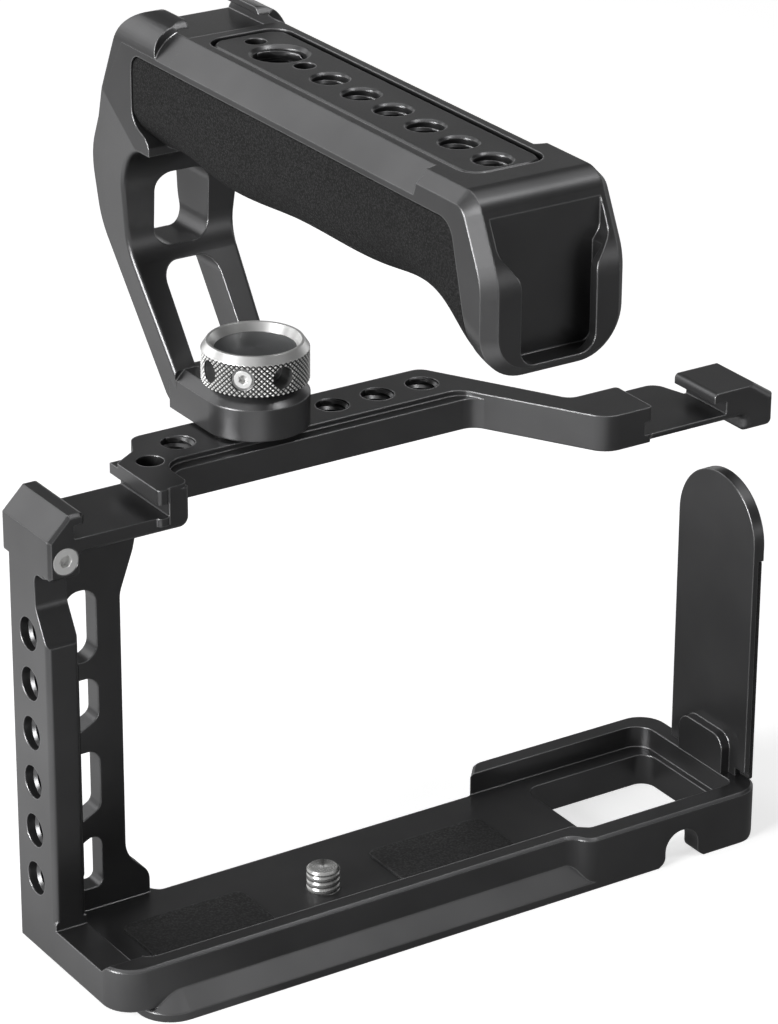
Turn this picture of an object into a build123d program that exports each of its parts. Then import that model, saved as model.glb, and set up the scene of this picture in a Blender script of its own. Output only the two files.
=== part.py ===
from build123d import *
import math
import os

os.makedirs("parts", exist_ok=True)

# Camera cage with a lift-off top handle, in millimetres.
# Origin: middle of the dovetail's underside, straight below the lens axis.
# +X runs to the side post, +Y to the back of the camera, +Z up.

# ---------------------------------------------------------------- overall sizes
cage_length = 149.0
post_outer_x = 53.1
plate_top_z = 93.9
handle_rise = 73.6
handle_end_y = 72.5

# ---------------------------------------------------------------- threads and fits
quarter_thread_r = 3.175
three_eighths_thread_r = 4.7625
small_thread_r = 1.5
thread_gap = 0.05
slip_gap = 0.05
seat_gap = 0.3
quarter_mouth = 0.4
three_eighths_mouth = 0.65
tripod_mouth = 0.25
row_pitch = 10.0

# ---------------------------------------------------------------- dovetail and base
dovetail_width = 38.0
dovetail_edge = 1.55
dovetail_flank = 3.4
dovetail_left_x = 47.2
dovetail_corner_r = 7.0
base_drop = 2.5
tray_floor_z = 6.5
rim_z = 11.0
rim_edge = 0.5
side_rail_z = 9.2
block_step_x = -47.5
block_wall = 4.4
rear_wall = 3.4
front_wall = 3.9
end_wall = 4.4
base_inset = 5.6
grip_corner_r = 5.7
end_round_r = 4.0
notch_width = 7.8
notch_top_z = 7.0
notch_from_end = 19.9
bay_length = 30.0
bay_from_end = 5.9
bay_front_y = -12.0

# ---------------------------------------------------------------- side post and ladder wing
post_thickness = 6.5
post_front_y = -21.8
post_depth = 14.0
post_hole_y = -14.9
post_hole_count = 6
post_hole_low_z = 17.2
wing_front_y = -19.8
wing_length = 13.0
wing_top_drop = 17.9
window_from_post = 1.5
window_width = 6.5

# ---------------------------------------------------------------- cold shoes
shoe_slot_height = 2.65
shoe_lip = 2.0
shoe_floor_drop = 6.0
shoe_slot_width = 19.1
shoe_opening = 14.6
shoe_wall = 5.25
post_shoe_front_y = -23.3
post_shoe_rear_y = -6.15
post_shoe_floor = 3.0
post_shoe_drop = 4.4
shoe_shoulder = 4.3
shoe_edge = 0.6
shoe_corner_r = 1.5
lug_recess_drop = 14.4
column_width = 4.5
grip_shoe_rear_y = 9.5
grip_shoe_front_y = -3.3
grip_shoe_outer_wall = 11.5
grip_shoe_drop = 3.1

# ---------------------------------------------------------------- top plate
plate_thickness = 7.6
plate_front_y = -29.7
plate_rear_y = -17.0
arm_start_x = -41.0
arm_end_x = -56.6
ledge_depth = 2.6
ledge_drop = 1.6
plate_row_y = -23.2
plate_row_first = 16.7
plate_edge = 0.5

# ---------------------------------------------------------------- handle
grip_half = 14.1
grip_corner = 8.5
grip_depth = 23.6
facet_drop = 4.4
facet_front_y = -34.5
facet_rear_y = 51.5
pad_thickness = 1.8
pad_recess = 0.1
pad_top_drop = 5.5
foot_r = 10.15
foot_height = 8.0
foot_edge = 1.9
foot_web = 1.4
arm_window = 11.6
arm_window_low_height = 19.0
arm_window_high_height = 14.5
arm_edge = 0.8
rail_groove_half = 8.2
rail_slack = 0.7
rail_depth = 3.0
rail_below_top = 0.2
rail_front_y = -27.0
rail_rear_y = 58.2
rail_big_hole_y = -13.9
rail_pin_offset = 8.25
rail_pin_r = 2.0
rail_row_first_y = 2.75
rail_row_count = 6
rail_screw_x = 4.6
rail_screw_head_r = 2.75
rail_screw_grip = 6.0
rail_screw_reach = 2.2
rail_hole_depth = 6.0
rail_edge = 0.5
top_shoe_step = 2.1
top_shoe_rise = 2.4
top_shoe_edge = 2.4
top_shoe_rear_y = -29.5
end_entry_half = 10.9
end_opening_half = 7.45
end_slot_floor_depth = 4.5
end_slot_drop = 28.7
end_bevel = 2.2
end_top_r = 5.0
end_knee_r = 13.0

# ---------------------------------------------------------------- thumb screw
knob_r = 10.15
knob_height = 7.9
knob_top_bevel = 1.05
knob_bevel_height = 1.6
knob_rim_r = 8.6
knob_recess_r = 7.6
knob_recess = 1.65
cap_thickness = 0.5
knob_low_bevel = 0.4
tommy_r = 2.1
tommy_depth = 4.2
knob_hole_height = 3.5
washer_thickness = 0.45
washer_r = 7.0
stud_reach = 6.0
stud_neck_r = 2.4
set_screw_r = 1.7
set_screw_sink = 0.6
set_screw_hex = 1.6
set_screw_hex_depth = 1.2
set_screw_angles = [45, 225]
pin_r = 1.5
pin_offset = 7.0
pin_reach = 2.5
pin_seat = 4.0

# ---------------------------------------------------------------- camera screw, pads and grip upright
camera_head_r = 6.4
camera_head_height = 2.5
camera_head_recess = 0.4
camera_washer_thickness = 0.6
coin_slot_width = 1.6
coin_slot_depth = 1.2
camera_hex = 3.2
camera_hex_depth = 2.2
tripod_thread_depth = 4.8
tripod_thread_x = 22.0
base_pad_length = 26.0
base_pad_width = 14.0
base_pad_x = 27.0
pad_seat = 0.7
pad_rise = 0.4
side_pad_width = 2.2
side_pad_height = 44.0
upright_depth = 24.0
upright_rear_y = 15.4
upright_top_z = 73.0
upright_top_r = 12.0
upright_thickness = 2.4
upright_pad_thickness = 1.2
upright_pad_top_z = 58.2
upright_pad_edge = 0.6
upright_notch_height = 1.8
upright_notch_depth = 3.0
upright_foot_depth = 14.0
upright_foot_z = 19.0
upright_screw_r = 1.0
upright_head_r = 1.7
upright_head_z = 5.0
upright_head_height = 1.4
upright_screw_spacing = 8.0
upright_screw_grip = 6.0
lug_screw_x = 49.7
lug_screw_drop = 3.9
lug_head_r = 2.5
lug_rim = 0.5
lug_hex = 2.2
lug_hex_depth = 1.6
lug_screw_length = 9.0

# ---------------------------------------------------------------- worked-out places
end_x = post_outer_x - cage_length
base_end_x = end_x + base_inset
post_inner_x = post_outer_x - post_thickness
dovetail_half = dovetail_width / 2
rear_y = dovetail_half - dovetail_flank
plate_low_z = plate_top_z - plate_thickness
handle_top_z = plate_top_z + handle_rise
shoe_floor_z = plate_top_z - shoe_floor_drop
quarter_bore_r = quarter_thread_r + thread_gap
three_eighths_bore_r = three_eighths_thread_r + thread_gap
small_bore_r = small_thread_r + thread_gap
lip_low_z = shoe_floor_z + shoe_slot_height
lip_top_z = lip_low_z + shoe_lip
camera_seat_z = camera_head_recess + camera_head_height + camera_washer_thickness
side_pad_y = post_front_y + post_depth - 1 - side_pad_width / 2
lug_recess_z = shoe_floor_z - lug_recess_drop
side_pad_z = (tray_floor_z + lug_recess_z) / 2
lug_screw_z = shoe_floor_z - lug_screw_drop
end_slot_low_z = handle_top_z - end_slot_drop
top_shoe_half = grip_half - pad_thickness
upright_front_y = upright_rear_y - upright_depth
upright_inner_x = base_end_x + upright_thickness
upright_middle_y = upright_rear_y - upright_depth / 2
upright_screw_x = base_end_x + (upright_pad_thickness + end_wall) / 2
upright_screw_places = [
    (upright_screw_x, upright_middle_y - upright_screw_spacing / 2),
    (upright_screw_x, upright_middle_y + upright_screw_spacing / 2),
]


def outline(corners):
    # A closed line through corners, each one given as (across, up, corner radius).
    starts = []
    ends = []
    middles = []
    for i, (across, up, radius) in enumerate(corners):
        corner = Vector(across, up)
        before = (Vector(*corners[i - 1][:2]) - corner).normalized()
        after = (Vector(*corners[(i + 1) % len(corners)][:2]) - corner).normalized()
        half_turn = math.radians(before.get_angle(after)) / 2
        setback = radius / math.tan(half_turn)
        toward_centre = (before + after).normalized()
        starts.append(corner + before * setback)
        ends.append(corner + after * setback)
        middles.append(corner + toward_centre * (radius / math.sin(half_turn) - radius))
    for i, (across, up, radius) in enumerate(corners):
        if radius:
            ThreePointArc(starts[i], middles[i], ends[i])
        following = starts[(i + 1) % len(corners)]
        if (following - ends[i]).length > 1e-6:
            Line(ends[i], following)


def finish(piece, name):
    # Name the piece and write it to its own file.
    piece.part.label = name
    export_step(piece.part, f"parts/{name}.step")


# ---------------------------------------------------------------- cage frame
# One milled piece: base, dovetail, side post, ladder wing, top plate and two cold shoes.
post_slot_outer_x = post_outer_x - shoe_wall
post_slot_inner_x = post_slot_outer_x - shoe_slot_width
post_lip_outer_x = post_slot_outer_x - (shoe_slot_width - shoe_opening) / 2
post_lip_inner_x = post_lip_outer_x - shoe_opening
column_x = post_slot_inner_x - column_width
grip_slot_outer_x = end_x + grip_shoe_outer_wall
grip_slot_inner_x = grip_slot_outer_x + shoe_slot_width
grip_lip_outer_x = grip_slot_outer_x + (shoe_slot_width - shoe_opening) / 2 + 0.6
grip_lip_inner_x = grip_lip_outer_x + shoe_opening
arm_end_y = grip_shoe_rear_y
row_holes_x = [plate_row_first, -plate_row_first, -plate_row_first - row_pitch, -plate_row_first - 2 * row_pitch]

block_low_z = shoe_floor_z - post_shoe_floor

with BuildPart() as post_shoe_block:
    # Shoulder at 45 degrees, floor and column, with its outer rear edges bevelled.
    with BuildSketch(Plane.XZ.offset(-post_shoe_rear_y)):
        with BuildLine():
            outline([
                (post_outer_x, block_low_z - post_shoe_drop, 0.8),
                (post_outer_x, lip_top_z - shoe_shoulder, 0),
                (post_outer_x - shoe_shoulder, lip_top_z, 0),
                (post_lip_outer_x, lip_top_z, 0.9),
                (post_lip_outer_x, shoe_floor_z, 0),
                (post_lip_inner_x, shoe_floor_z, 0),
                (post_lip_inner_x, lip_top_z, 0),
                (column_x, lip_top_z, 0),
                (column_x, block_low_z, 1.8),
                (post_inner_x, block_low_z, 0.6),
                (post_inner_x, block_low_z - post_shoe_drop, 0.8),
            ])
        make_face()
    extrude(amount=post_shoe_rear_y - post_shoe_front_y)
    rear_edges = post_shoe_block.edges().filter_by_position(Axis.Y, post_shoe_rear_y - 0.1, post_shoe_rear_y + 0.1)
    outer_edges = rear_edges.filter_by_position(Axis.X, post_lip_outer_x + 1, post_outer_x + 0.1)
    chamfer(outer_edges.filter_by_position(Axis.Z, block_low_z - 1, lip_top_z + 0.1), shoe_edge)

with BuildPart() as grip_shoe_block:
    # A shallower shoulder, with the outer rear corner rounded.
    with BuildSketch(Plane.XZ.offset(-grip_shoe_rear_y)):
        with BuildLine():
            outline([
                (end_x, plate_low_z - grip_shoe_drop, 1.2),
                (end_x, lip_top_z - shoe_shoulder + 1.5, 0),
                (end_x + shoe_shoulder, lip_top_z, 0),
                (grip_lip_outer_x, lip_top_z, 0.9),
                (grip_lip_outer_x, shoe_floor_z, 0),
                (grip_lip_inner_x, shoe_floor_z, 0),
                (grip_lip_inner_x, plate_low_z, 0),
                (end_x + 7, plate_low_z, 0.8),
                (end_x + 7, plate_low_z - grip_shoe_drop, 0.6),
            ])
        make_face()
    extrude(amount=grip_shoe_rear_y - grip_shoe_front_y)
    rear_edges = grip_shoe_block.edges().filter_by_position(Axis.Y, grip_shoe_rear_y - 0.1, grip_shoe_rear_y + 0.1)
    outer_edges = rear_edges.filter_by_position(Axis.X, end_x - 0.1, end_x + shoe_shoulder)
    fillet(outer_edges.filter_by_position(Axis.Z, plate_low_z - 1, lip_top_z), shoe_corner_r)

with BuildPart() as cage_frame:
    # Base seen from above: stepped back between the dovetail and the grip-side block.
    with BuildSketch(Plane.XY):
        with BuildLine():
            outline([
                (post_outer_x, post_front_y, 0.6),
                (post_outer_x, rear_y, 6),
                (block_step_x + 1.2, rear_y, 3),
                (block_step_x - 1.2, dovetail_half, 3),
                (base_end_x, dovetail_half, grip_corner_r),
                (base_end_x, wing_front_y, 6),
                (block_step_x, wing_front_y, 3),
                (block_step_x + 3.5, -rear_y, 2),
                (post_inner_x - wing_length - 7, -rear_y, 2),
                (post_inner_x - wing_length - 3.5, wing_front_y, 3),
                (post_inner_x, wing_front_y, 0),
                (post_inner_x, post_front_y, 0),
            ])
        make_face()
    extrude(amount=rim_z)
    chamfer(cage_frame.faces().sort_by(Axis.Z)[-1].edges(), rim_edge)
    # Raised underside on the post's side, and a rounded lower corner at the grip end.
    with BuildSketch(Plane.XZ.offset(-dovetail_half - 1)):
        with Locations(((block_step_x + post_outer_x + 1) / 2, base_drop / 2 - 0.5)):
            Rectangle(post_outer_x + 1 - block_step_x, base_drop + 1)
        with Locations((base_end_x + end_round_r / 2 - 0.5, end_round_r / 2 - 0.5)):
            Rectangle(end_round_r + 1, end_round_r + 1)
        with Locations((base_end_x + end_round_r, end_round_r)):
            Circle(end_round_r, mode=Mode.SUBTRACT)
    extrude(amount=dovetail_half - post_front_y + 2, mode=Mode.SUBTRACT)

    # Dovetail rail: straight edges, then flanks at 45 degrees running in under the base.
    with BuildSketch(Plane.XY):
        with BuildLine():
            outline([
                (dovetail_left_x, -dovetail_half, dovetail_corner_r),
                (dovetail_left_x, dovetail_half, dovetail_corner_r),
                (block_step_x - 6, dovetail_half, 0),
                (block_step_x - 6, -dovetail_half, 0),
            ])
        make_face()
    extrude(amount=dovetail_edge)
    with BuildSketch(Plane.XY.offset(dovetail_edge)):
        with BuildLine():
            outline([
                (dovetail_left_x, -dovetail_half, dovetail_corner_r),
                (dovetail_left_x, dovetail_half, dovetail_corner_r),
                (block_step_x - 6, dovetail_half, 0),
                (block_step_x - 6, -dovetail_half, 0),
            ])
        make_face()
    extrude(amount=dovetail_flank, taper=45)

    # Tray for the camera's underside.
    with BuildSketch(Plane.XY.offset(tray_floor_z)):
        with BuildLine():
            outline([
                (post_inner_x, wing_front_y + front_wall, 3),
                (post_inner_x, rear_y - rear_wall, 4),
                (block_step_x - 1, rear_y - rear_wall, 2),
                (block_step_x - 4, dovetail_half - block_wall, 2),
                (base_end_x + end_wall, dovetail_half - block_wall, 2),
                (base_end_x + end_wall, wing_front_y + front_wall, 4),
            ])
        make_face()
        with Locations(((block_step_x + post_inner_x - wing_length) / 2, wing_front_y)):
            Rectangle(post_inner_x - wing_length - block_step_x - 8, 2 * front_wall + 2)
    extrude(amount=rim_z, mode=Mode.SUBTRACT)

    # The side rail behind the post is lower and ramps up to the rear wall.
    with BuildSketch(Plane.YZ.offset(post_inner_x - 1)):
        with BuildLine():
            outline([
                (post_front_y + post_depth, side_rail_z, 0),
                (rear_y - rear_wall - 3, side_rail_z, 1),
                (rear_y - rear_wall, rim_z + 1, 0),
                (post_front_y + post_depth, rim_z + 1, 0),
            ])
        make_face()
    extrude(amount=post_thickness + 2, mode=Mode.SUBTRACT)

    # Battery bay through the floor, and the cable notch from it through the rear wall.
    bay_x = base_end_x + bay_from_end + bay_length / 2
    with BuildSketch(Plane.XY.offset(-1)):
        with Locations((bay_x, (bay_front_y + dovetail_half - block_wall) / 2)):
            RectangleRounded(bay_length, dovetail_half - block_wall - bay_front_y, 3)
    extrude(amount=tray_floor_z + 2, mode=Mode.SUBTRACT)
    notch_x = base_end_x + notch_from_end
    with BuildSketch(Plane.XZ.offset(-dovetail_half - 1)):
        with BuildLine():
            outline([
                (notch_x - notch_width / 2, notch_top_z, notch_width / 2 - 0.05),
                (notch_x + notch_width / 2, notch_top_z, notch_width / 2 - 0.05),
                (notch_x + notch_width / 2, 1, 1.8),
                (notch_x + notch_width / 2 + 3, -1, 0),
                (notch_x - notch_width / 2 - 3, -1, 0),
                (notch_x - notch_width / 2, 1, 1.8),
            ])
        make_face()
    extrude(amount=block_wall + 2, mode=Mode.SUBTRACT)

    # Side post.
    with BuildSketch(Plane.XY.offset(base_drop)):
        with BuildLine():
            outline([
                (post_outer_x, post_front_y, 0.6),
                (post_outer_x, post_front_y + post_depth, 1),
                (post_inner_x, post_front_y + post_depth, 1),
                (post_inner_x, post_front_y, 0.3),
            ])
        make_face()
    extrude(amount=shoe_floor_z - base_drop)

    # Ladder wing in front of the camera, from the post to its free edge.
    with BuildSketch(Plane.XZ.offset(-wing_front_y - front_wall)):
        with BuildLine():
            outline([
                (post_inner_x + 1, base_drop + 1, 0),
                (post_inner_x + 1, shoe_floor_z - 1, 0),
                (post_slot_inner_x, shoe_floor_z - 1, 0),
                (post_slot_inner_x + 2, shoe_floor_z - wing_top_drop + 8, 6),
                (post_inner_x - wing_length, shoe_floor_z - wing_top_drop, 6),
                (post_inner_x - wing_length, 16, 6),
                (post_inner_x - wing_length - 5, rim_z, 4),
                (post_inner_x - wing_length - 5, base_drop + 1, 0),
            ])
        make_face()
    extrude(amount=front_wall)
    # Its windows; the lower two ribs rise away from the post.
    window_outer_x = post_inner_x - window_from_post
    window_inner_x = window_outer_x - window_width
    rib_rise = 3.5
    with BuildSketch(Plane.XZ.offset(-wing_front_y - front_wall - 1)):
        for corners in (
            [(58, 3), (58, 3), (72.5, 3), (72.5, 3)],
            [(42.5, 2), (42.5 + rib_rise, 2), (54.5, 2.5), (54.5, 2.5)],
            [(24, 2), (24 + rib_rise, 2), (39.5, 2.5), (39.5, 2.5)],
            [(rim_z, 1.5), (rim_z, 1.5), (19.5 + rib_rise, 2), (19.5, 2)],
        ):
            across = (window_outer_x, window_inner_x, window_inner_x, window_outer_x)
            with BuildLine():
                outline([(x, z, r) for x, (z, r) in zip(across, corners)])
            make_face()
    extrude(amount=front_wall + 2, mode=Mode.SUBTRACT)

    # Cold-shoe blocks over the post and at the grip end.
    add(post_shoe_block.part)
    add(grip_shoe_block.part)
    # Rounded tab that carries the floor forward.
    with BuildSketch(Plane.XY.offset(plate_low_z)):
        with BuildLine():
            outline([
                (grip_lip_inner_x, grip_shoe_front_y + 2, 0),
                (grip_lip_inner_x - 7.5, grip_shoe_front_y - 7, 3),
                (grip_slot_outer_x + 2.5, grip_shoe_front_y - 7, 3),
                (grip_slot_outer_x, grip_shoe_front_y + 2, 0),
            ])
        make_face()
    extrude(amount=shoe_floor_z - plate_low_z)

    # Top plate, from the lip over the post shoe to the lip over the grip shoe.
    with BuildSketch(Plane.XY.offset(plate_low_z)) as plate_plan:
        with BuildLine():
            outline([
                (post_lip_inner_x, post_shoe_rear_y + 0.7, 0.8),
                (post_lip_inner_x, -20.6, 1),
                (post_lip_inner_x - 5.2, -24.0, 2),
                (post_lip_inner_x - 8.0, plate_front_y, 3),
                (-40.4, plate_front_y, 3),
                (-56.2, grip_shoe_front_y + 1.2, 3),
                (grip_lip_inner_x, grip_shoe_front_y + 1.2, 0.8),
                (grip_lip_inner_x, arm_end_y, 0.8),
                (arm_end_x, arm_end_y, 5),
                (arm_start_x, plate_rear_y, 4),
                (column_x, plate_rear_y, 5),
                (column_x, post_shoe_rear_y, 2),
                (post_slot_inner_x, post_shoe_rear_y, 0.6),
                (post_lip_inner_x - 2.4, post_shoe_rear_y + 0.7, 0.6),
            ])
        make_face()
    extrude(amount=plate_thickness - plate_edge)
    with BuildSketch(Plane.XY.offset(plate_top_z - plate_edge)):
        add(plate_plan.sketch)
    extrude(amount=plate_edge, taper=45)
    # Ledge along the back of the plate, a step below its top.
    ledge_y = plate_rear_y + ledge_depth
    arm_slope = (arm_end_x - arm_start_x) / (arm_end_y - plate_rear_y)
    with BuildSketch(Plane.XY.offset(plate_low_z)):
        with BuildLine():
            outline([
                (column_x + 1, plate_rear_y - 3, 0),
                (arm_start_x - 3, plate_rear_y - 3, 0),
                (arm_start_x - 9, ledge_y + 6.6, 0),
                (arm_start_x + arm_slope * (ledge_depth + 6.6), ledge_y + 6.6, 0),
                (arm_start_x + arm_slope * ledge_depth, ledge_y, 4),
                (column_x, ledge_y, 4),
                (column_x, ledge_y + 4.5, 0),
                (column_x + 1, ledge_y + 4.5, 0),
            ])
        make_face()
    extrude(amount=plate_thickness - ledge_drop)

    # The T-slots of both shoes.
    with BuildSketch(Plane.XZ.offset(-post_shoe_rear_y - 3)):
        with BuildLine():
            outline([
                (post_slot_outer_x, shoe_floor_z, 0.2),
                (post_slot_inner_x, shoe_floor_z, 0.2),
                (post_slot_inner_x, lip_low_z, 0.2),
                (post_slot_outer_x, lip_low_z, 0.2),
            ])
        make_face()
    extrude(amount=post_shoe_rear_y - post_shoe_front_y + 6, mode=Mode.SUBTRACT)
    with BuildSketch(Plane.XZ.offset(-grip_shoe_rear_y - 3)):
        with BuildLine():
            outline([
                (grip_slot_outer_x, shoe_floor_z, 0.2),
                (grip_slot_inner_x, shoe_floor_z, 0.2),
                (grip_slot_inner_x, lip_low_z, 0.2),
                (grip_slot_outer_x, lip_low_z, 0.2),
            ])
        make_face()
    extrude(amount=grip_shoe_rear_y - grip_shoe_front_y + 5, mode=Mode.SUBTRACT)

    # Strap-lug recess in the post's rear edge, under the shoe block.
    with BuildSketch(Plane.YZ.offset(post_inner_x - 1)):
        with BuildLine():
            outline([
                (post_front_y + post_depth + 1, lug_recess_z - 7.5, 0),
                (post_front_y + post_depth, lug_recess_z - 7, 3),
                (-11.8, lug_recess_z, 3),
                (-12.2, block_low_z - post_shoe_drop, 2),
                (post_front_y + post_depth + 1, block_low_z - post_shoe_drop, 0),
            ])
        make_face()
    extrude(amount=post_thickness + 2, mode=Mode.SUBTRACT)

    # Thread row in the side post.
    post_hole_mid_z = post_hole_low_z + (post_hole_count - 1) * row_pitch / 2
    with BuildSketch(Plane.YZ.offset(post_outer_x)):
        with Locations((post_hole_y, post_hole_mid_z)):
            with GridLocations(1, row_pitch, 1, post_hole_count):
                Circle(quarter_bore_r)
    extrude(amount=-post_thickness, mode=Mode.SUBTRACT)

    # Thread row in the top plate, and the handle's own thread with its two pin holes.
    with Locations(*[(x, plate_row_y, plate_top_z) for x in row_holes_x + [0]]):
        CounterSinkHole(quarter_bore_r, quarter_bore_r + quarter_mouth, counter_sink_angle=90)
    with Locations((-pin_offset, plate_row_y, plate_top_z), (pin_offset, plate_row_y, plate_top_z)):
        Hole(pin_r + slip_gap, pin_reach + 1)
    with Locations((column_x + 1.1, -18.4, plate_top_z)):
        CounterSinkHole(2.6, 3.0, depth=5, counter_sink_angle=90)

    # Captive camera screw's hole and head seat, and the blind tripod threads beside it.
    with BuildSketch(Plane.XY):
        Circle(camera_head_r + seat_gap)
    extrude(amount=camera_seat_z, mode=Mode.SUBTRACT)
    with BuildSketch(Plane.XY):
        Circle(quarter_thread_r + slip_gap)
    extrude(amount=rim_z, mode=Mode.SUBTRACT)
    for x, bore_r, mouth in (
        (tripod_thread_x, quarter_bore_r, quarter_mouth),
        (-tripod_thread_x, three_eighths_bore_r, tripod_mouth),
    ):
        with BuildSketch(Plane.XY):
            with Locations((x, 0)):
                Circle(bore_r)
        extrude(amount=tripod_thread_depth, mode=Mode.SUBTRACT)
        with BuildSketch(Plane.XY):
            with Locations((x, 0)):
                Circle(bore_r + mouth)
        extrude(amount=mouth, taper=45, mode=Mode.SUBTRACT)

    # Seats for the rubber pads in the tray floor and on the post's inner face.
    with BuildSketch(Plane.XY.offset(tray_floor_z)):
        with Locations((base_pad_x, 0), (-base_pad_x, 0)):
            RectangleRounded(base_pad_length, base_pad_width, 2)
    extrude(amount=-pad_seat, mode=Mode.SUBTRACT)
    with BuildSketch(Plane.YZ.offset(post_inner_x)):
        with Locations((side_pad_y, side_pad_z)):
            RectangleRounded(side_pad_width, side_pad_height, 1)
    extrude(amount=pad_seat, mode=Mode.SUBTRACT)

    # Screw holes up into the grip upright, and the lug lock screw's hole.
    with BuildSketch(Plane.XY.offset(-1)):
        with Locations(*upright_screw_places):
            Circle(upright_screw_r + slip_gap)
    extrude(amount=rim_z + 2, mode=Mode.SUBTRACT)
    with BuildSketch(Plane.XY.offset(-1)):
        with Locations(*upright_screw_places):
            Circle(upright_head_r + slip_gap)
    extrude(amount=upright_head_z + 1, mode=Mode.SUBTRACT)
    with BuildSketch(Plane.XZ.offset(-post_shoe_rear_y)):
        with Locations((lug_screw_x, lug_screw_z)):
            Circle(small_bore_r)
    extrude(amount=lug_screw_length + 1, mode=Mode.SUBTRACT)
    with BuildSketch(Plane.XZ.offset(-post_shoe_rear_y)):
        with Locations((lug_screw_x, lug_screw_z)):
            Circle(lug_head_r + slip_gap)
    extrude(amount=lug_rim, mode=Mode.SUBTRACT)
    with BuildSketch(Plane.XZ.offset(-post_shoe_rear_y + lug_rim)):
        with Locations((lug_screw_x, lug_screw_z)):
            Circle(lug_head_r + slip_gap)
    extrude(amount=lug_head_r + slip_gap - small_bore_r, taper=45, mode=Mode.SUBTRACT)

finish(cage_frame, "cage_frame")


# ---------------------------------------------------------------- handle
# The underside's height along the grip, from the arm to the end block, as (y, z).
underside = [
    (-47.0, handle_top_z - grip_depth),
    (-37.5, handle_top_z - grip_depth),
    (-29.6, handle_top_z - grip_depth + 0.4),
    (-17.4, handle_top_z - grip_depth - 1.2),
    (7.7, handle_top_z - grip_depth - 0.2),
    (36.3, handle_top_z - grip_depth + 0.4),
    (44.2, handle_top_z - grip_depth + 1.3),
    (55.0, handle_top_z - grip_depth),
    (62.6, handle_top_z - grip_depth - 4.9),
    (handle_end_y - 5.9, handle_top_z - grip_depth - 6.6),
    (handle_end_y, handle_top_z - grip_depth - 7.6),
]
# The grip pads' outline on the handle's side; it runs out below the underside.
pad_front_y = -42.6
pad_outline = [
    (pad_front_y, handle_top_z - pad_top_drop, 3),
    (61.4, handle_top_z - pad_top_drop, 4),
    (67.9, handle_top_z - 29.9, 0),
    (69.5, handle_top_z - 36, 0),
    (-36.2, handle_top_z - 36, 0),
    (-36.2, handle_top_z - 21.0, 4),
    (pad_front_y, handle_top_z - 18.5, 4),
]
arm_inner_y = -36.6
rail_floor_z = handle_top_z - rail_depth
rail_half = rail_groove_half - rail_slack
rail_length = rail_rear_y - rail_front_y
rail_middle_y = (rail_front_y + rail_rear_y) / 2
rail_row = [(0, rail_row_first_y + i * row_pitch) for i in range(rail_row_count)]
rail_pins = [(0, rail_big_hole_y - rail_pin_offset), (0, rail_big_hole_y + rail_pin_offset)]
rail_screws = [
    (x, rail_row_first_y + (row + 0.5) * row_pitch) for x in (-rail_screw_x, rail_screw_x) for row in (0, 4)
]
foot_top_z = plate_top_z + foot_height
pin_places = [(-pin_offset, plate_row_y), (pin_offset, plate_row_y)]
top_shoe_floor_z = handle_top_z - top_shoe_step
end_floor_y = handle_end_y - end_slot_floor_depth
end_slope_y = handle_end_y - 6.4
end_knee_z = handle_top_z - 13.2


def grip_bar(lift, half_width, corner_r):
    # The grip without its arm: its underside raised by lift, its lower edges rounded.
    with BuildPart() as bar:
        with BuildSketch(Plane.YZ.offset(-half_width)):
            with BuildLine():
                lower = Spline(*[(y, z + lift) for y, z in underside])
                Polyline(
                    lower @ 0,
                    (underside[0][0], handle_top_z),
                    (end_slope_y, handle_top_z),
                    (handle_end_y, end_knee_z),
                    lower @ 1,
                )
            make_face()
        extrude(amount=2 * half_width)
        for y, z, radius in ((end_slope_y, handle_top_z, end_top_r), (handle_end_y, end_knee_z, end_knee_r)):
            fillet(bar.edges().filter_by(Axis.X).sort_by_distance((0, y, z))[0], radius)
        fillet(bar.edges().filter_by(GeomType.BSPLINE), corner_r)
    return bar.part


grip_solid = grip_bar(0, grip_half, grip_corner)
grip_core = grip_bar(pad_thickness, grip_half - pad_thickness, grip_corner - pad_thickness)

with BuildPart() as pad_seat_space:
    with BuildSketch(Plane.YZ.offset(-grip_half - 1)):
        with BuildLine():
            outline(pad_outline)
        make_face()
    extrude(amount=2 * grip_half + 2)
    add(grip_core, mode=Mode.SUBTRACT)

with BuildPart() as top_shoe_block:
    with BuildSketch(Plane.YZ.offset(-top_shoe_half)):
        with BuildLine():
            outline([
                (-29, handle_top_z - 0.1, 0),
                (-33.5, handle_top_z + top_shoe_rise, 4),
                (-40, handle_top_z + top_shoe_rise, 6),
                (-49, handle_top_z - 5.2, 0),
                (-29, handle_top_z - 5.2, 0),
            ])
        make_face()
    extrude(amount=2 * top_shoe_half)
    shoulders = top_shoe_block.edges().filter_by_position(Axis.Z, handle_top_z - 3, handle_top_z + top_shoe_rise)
    fillet(shoulders.filter_by(Axis.X, reverse=True), top_shoe_edge)

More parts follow.
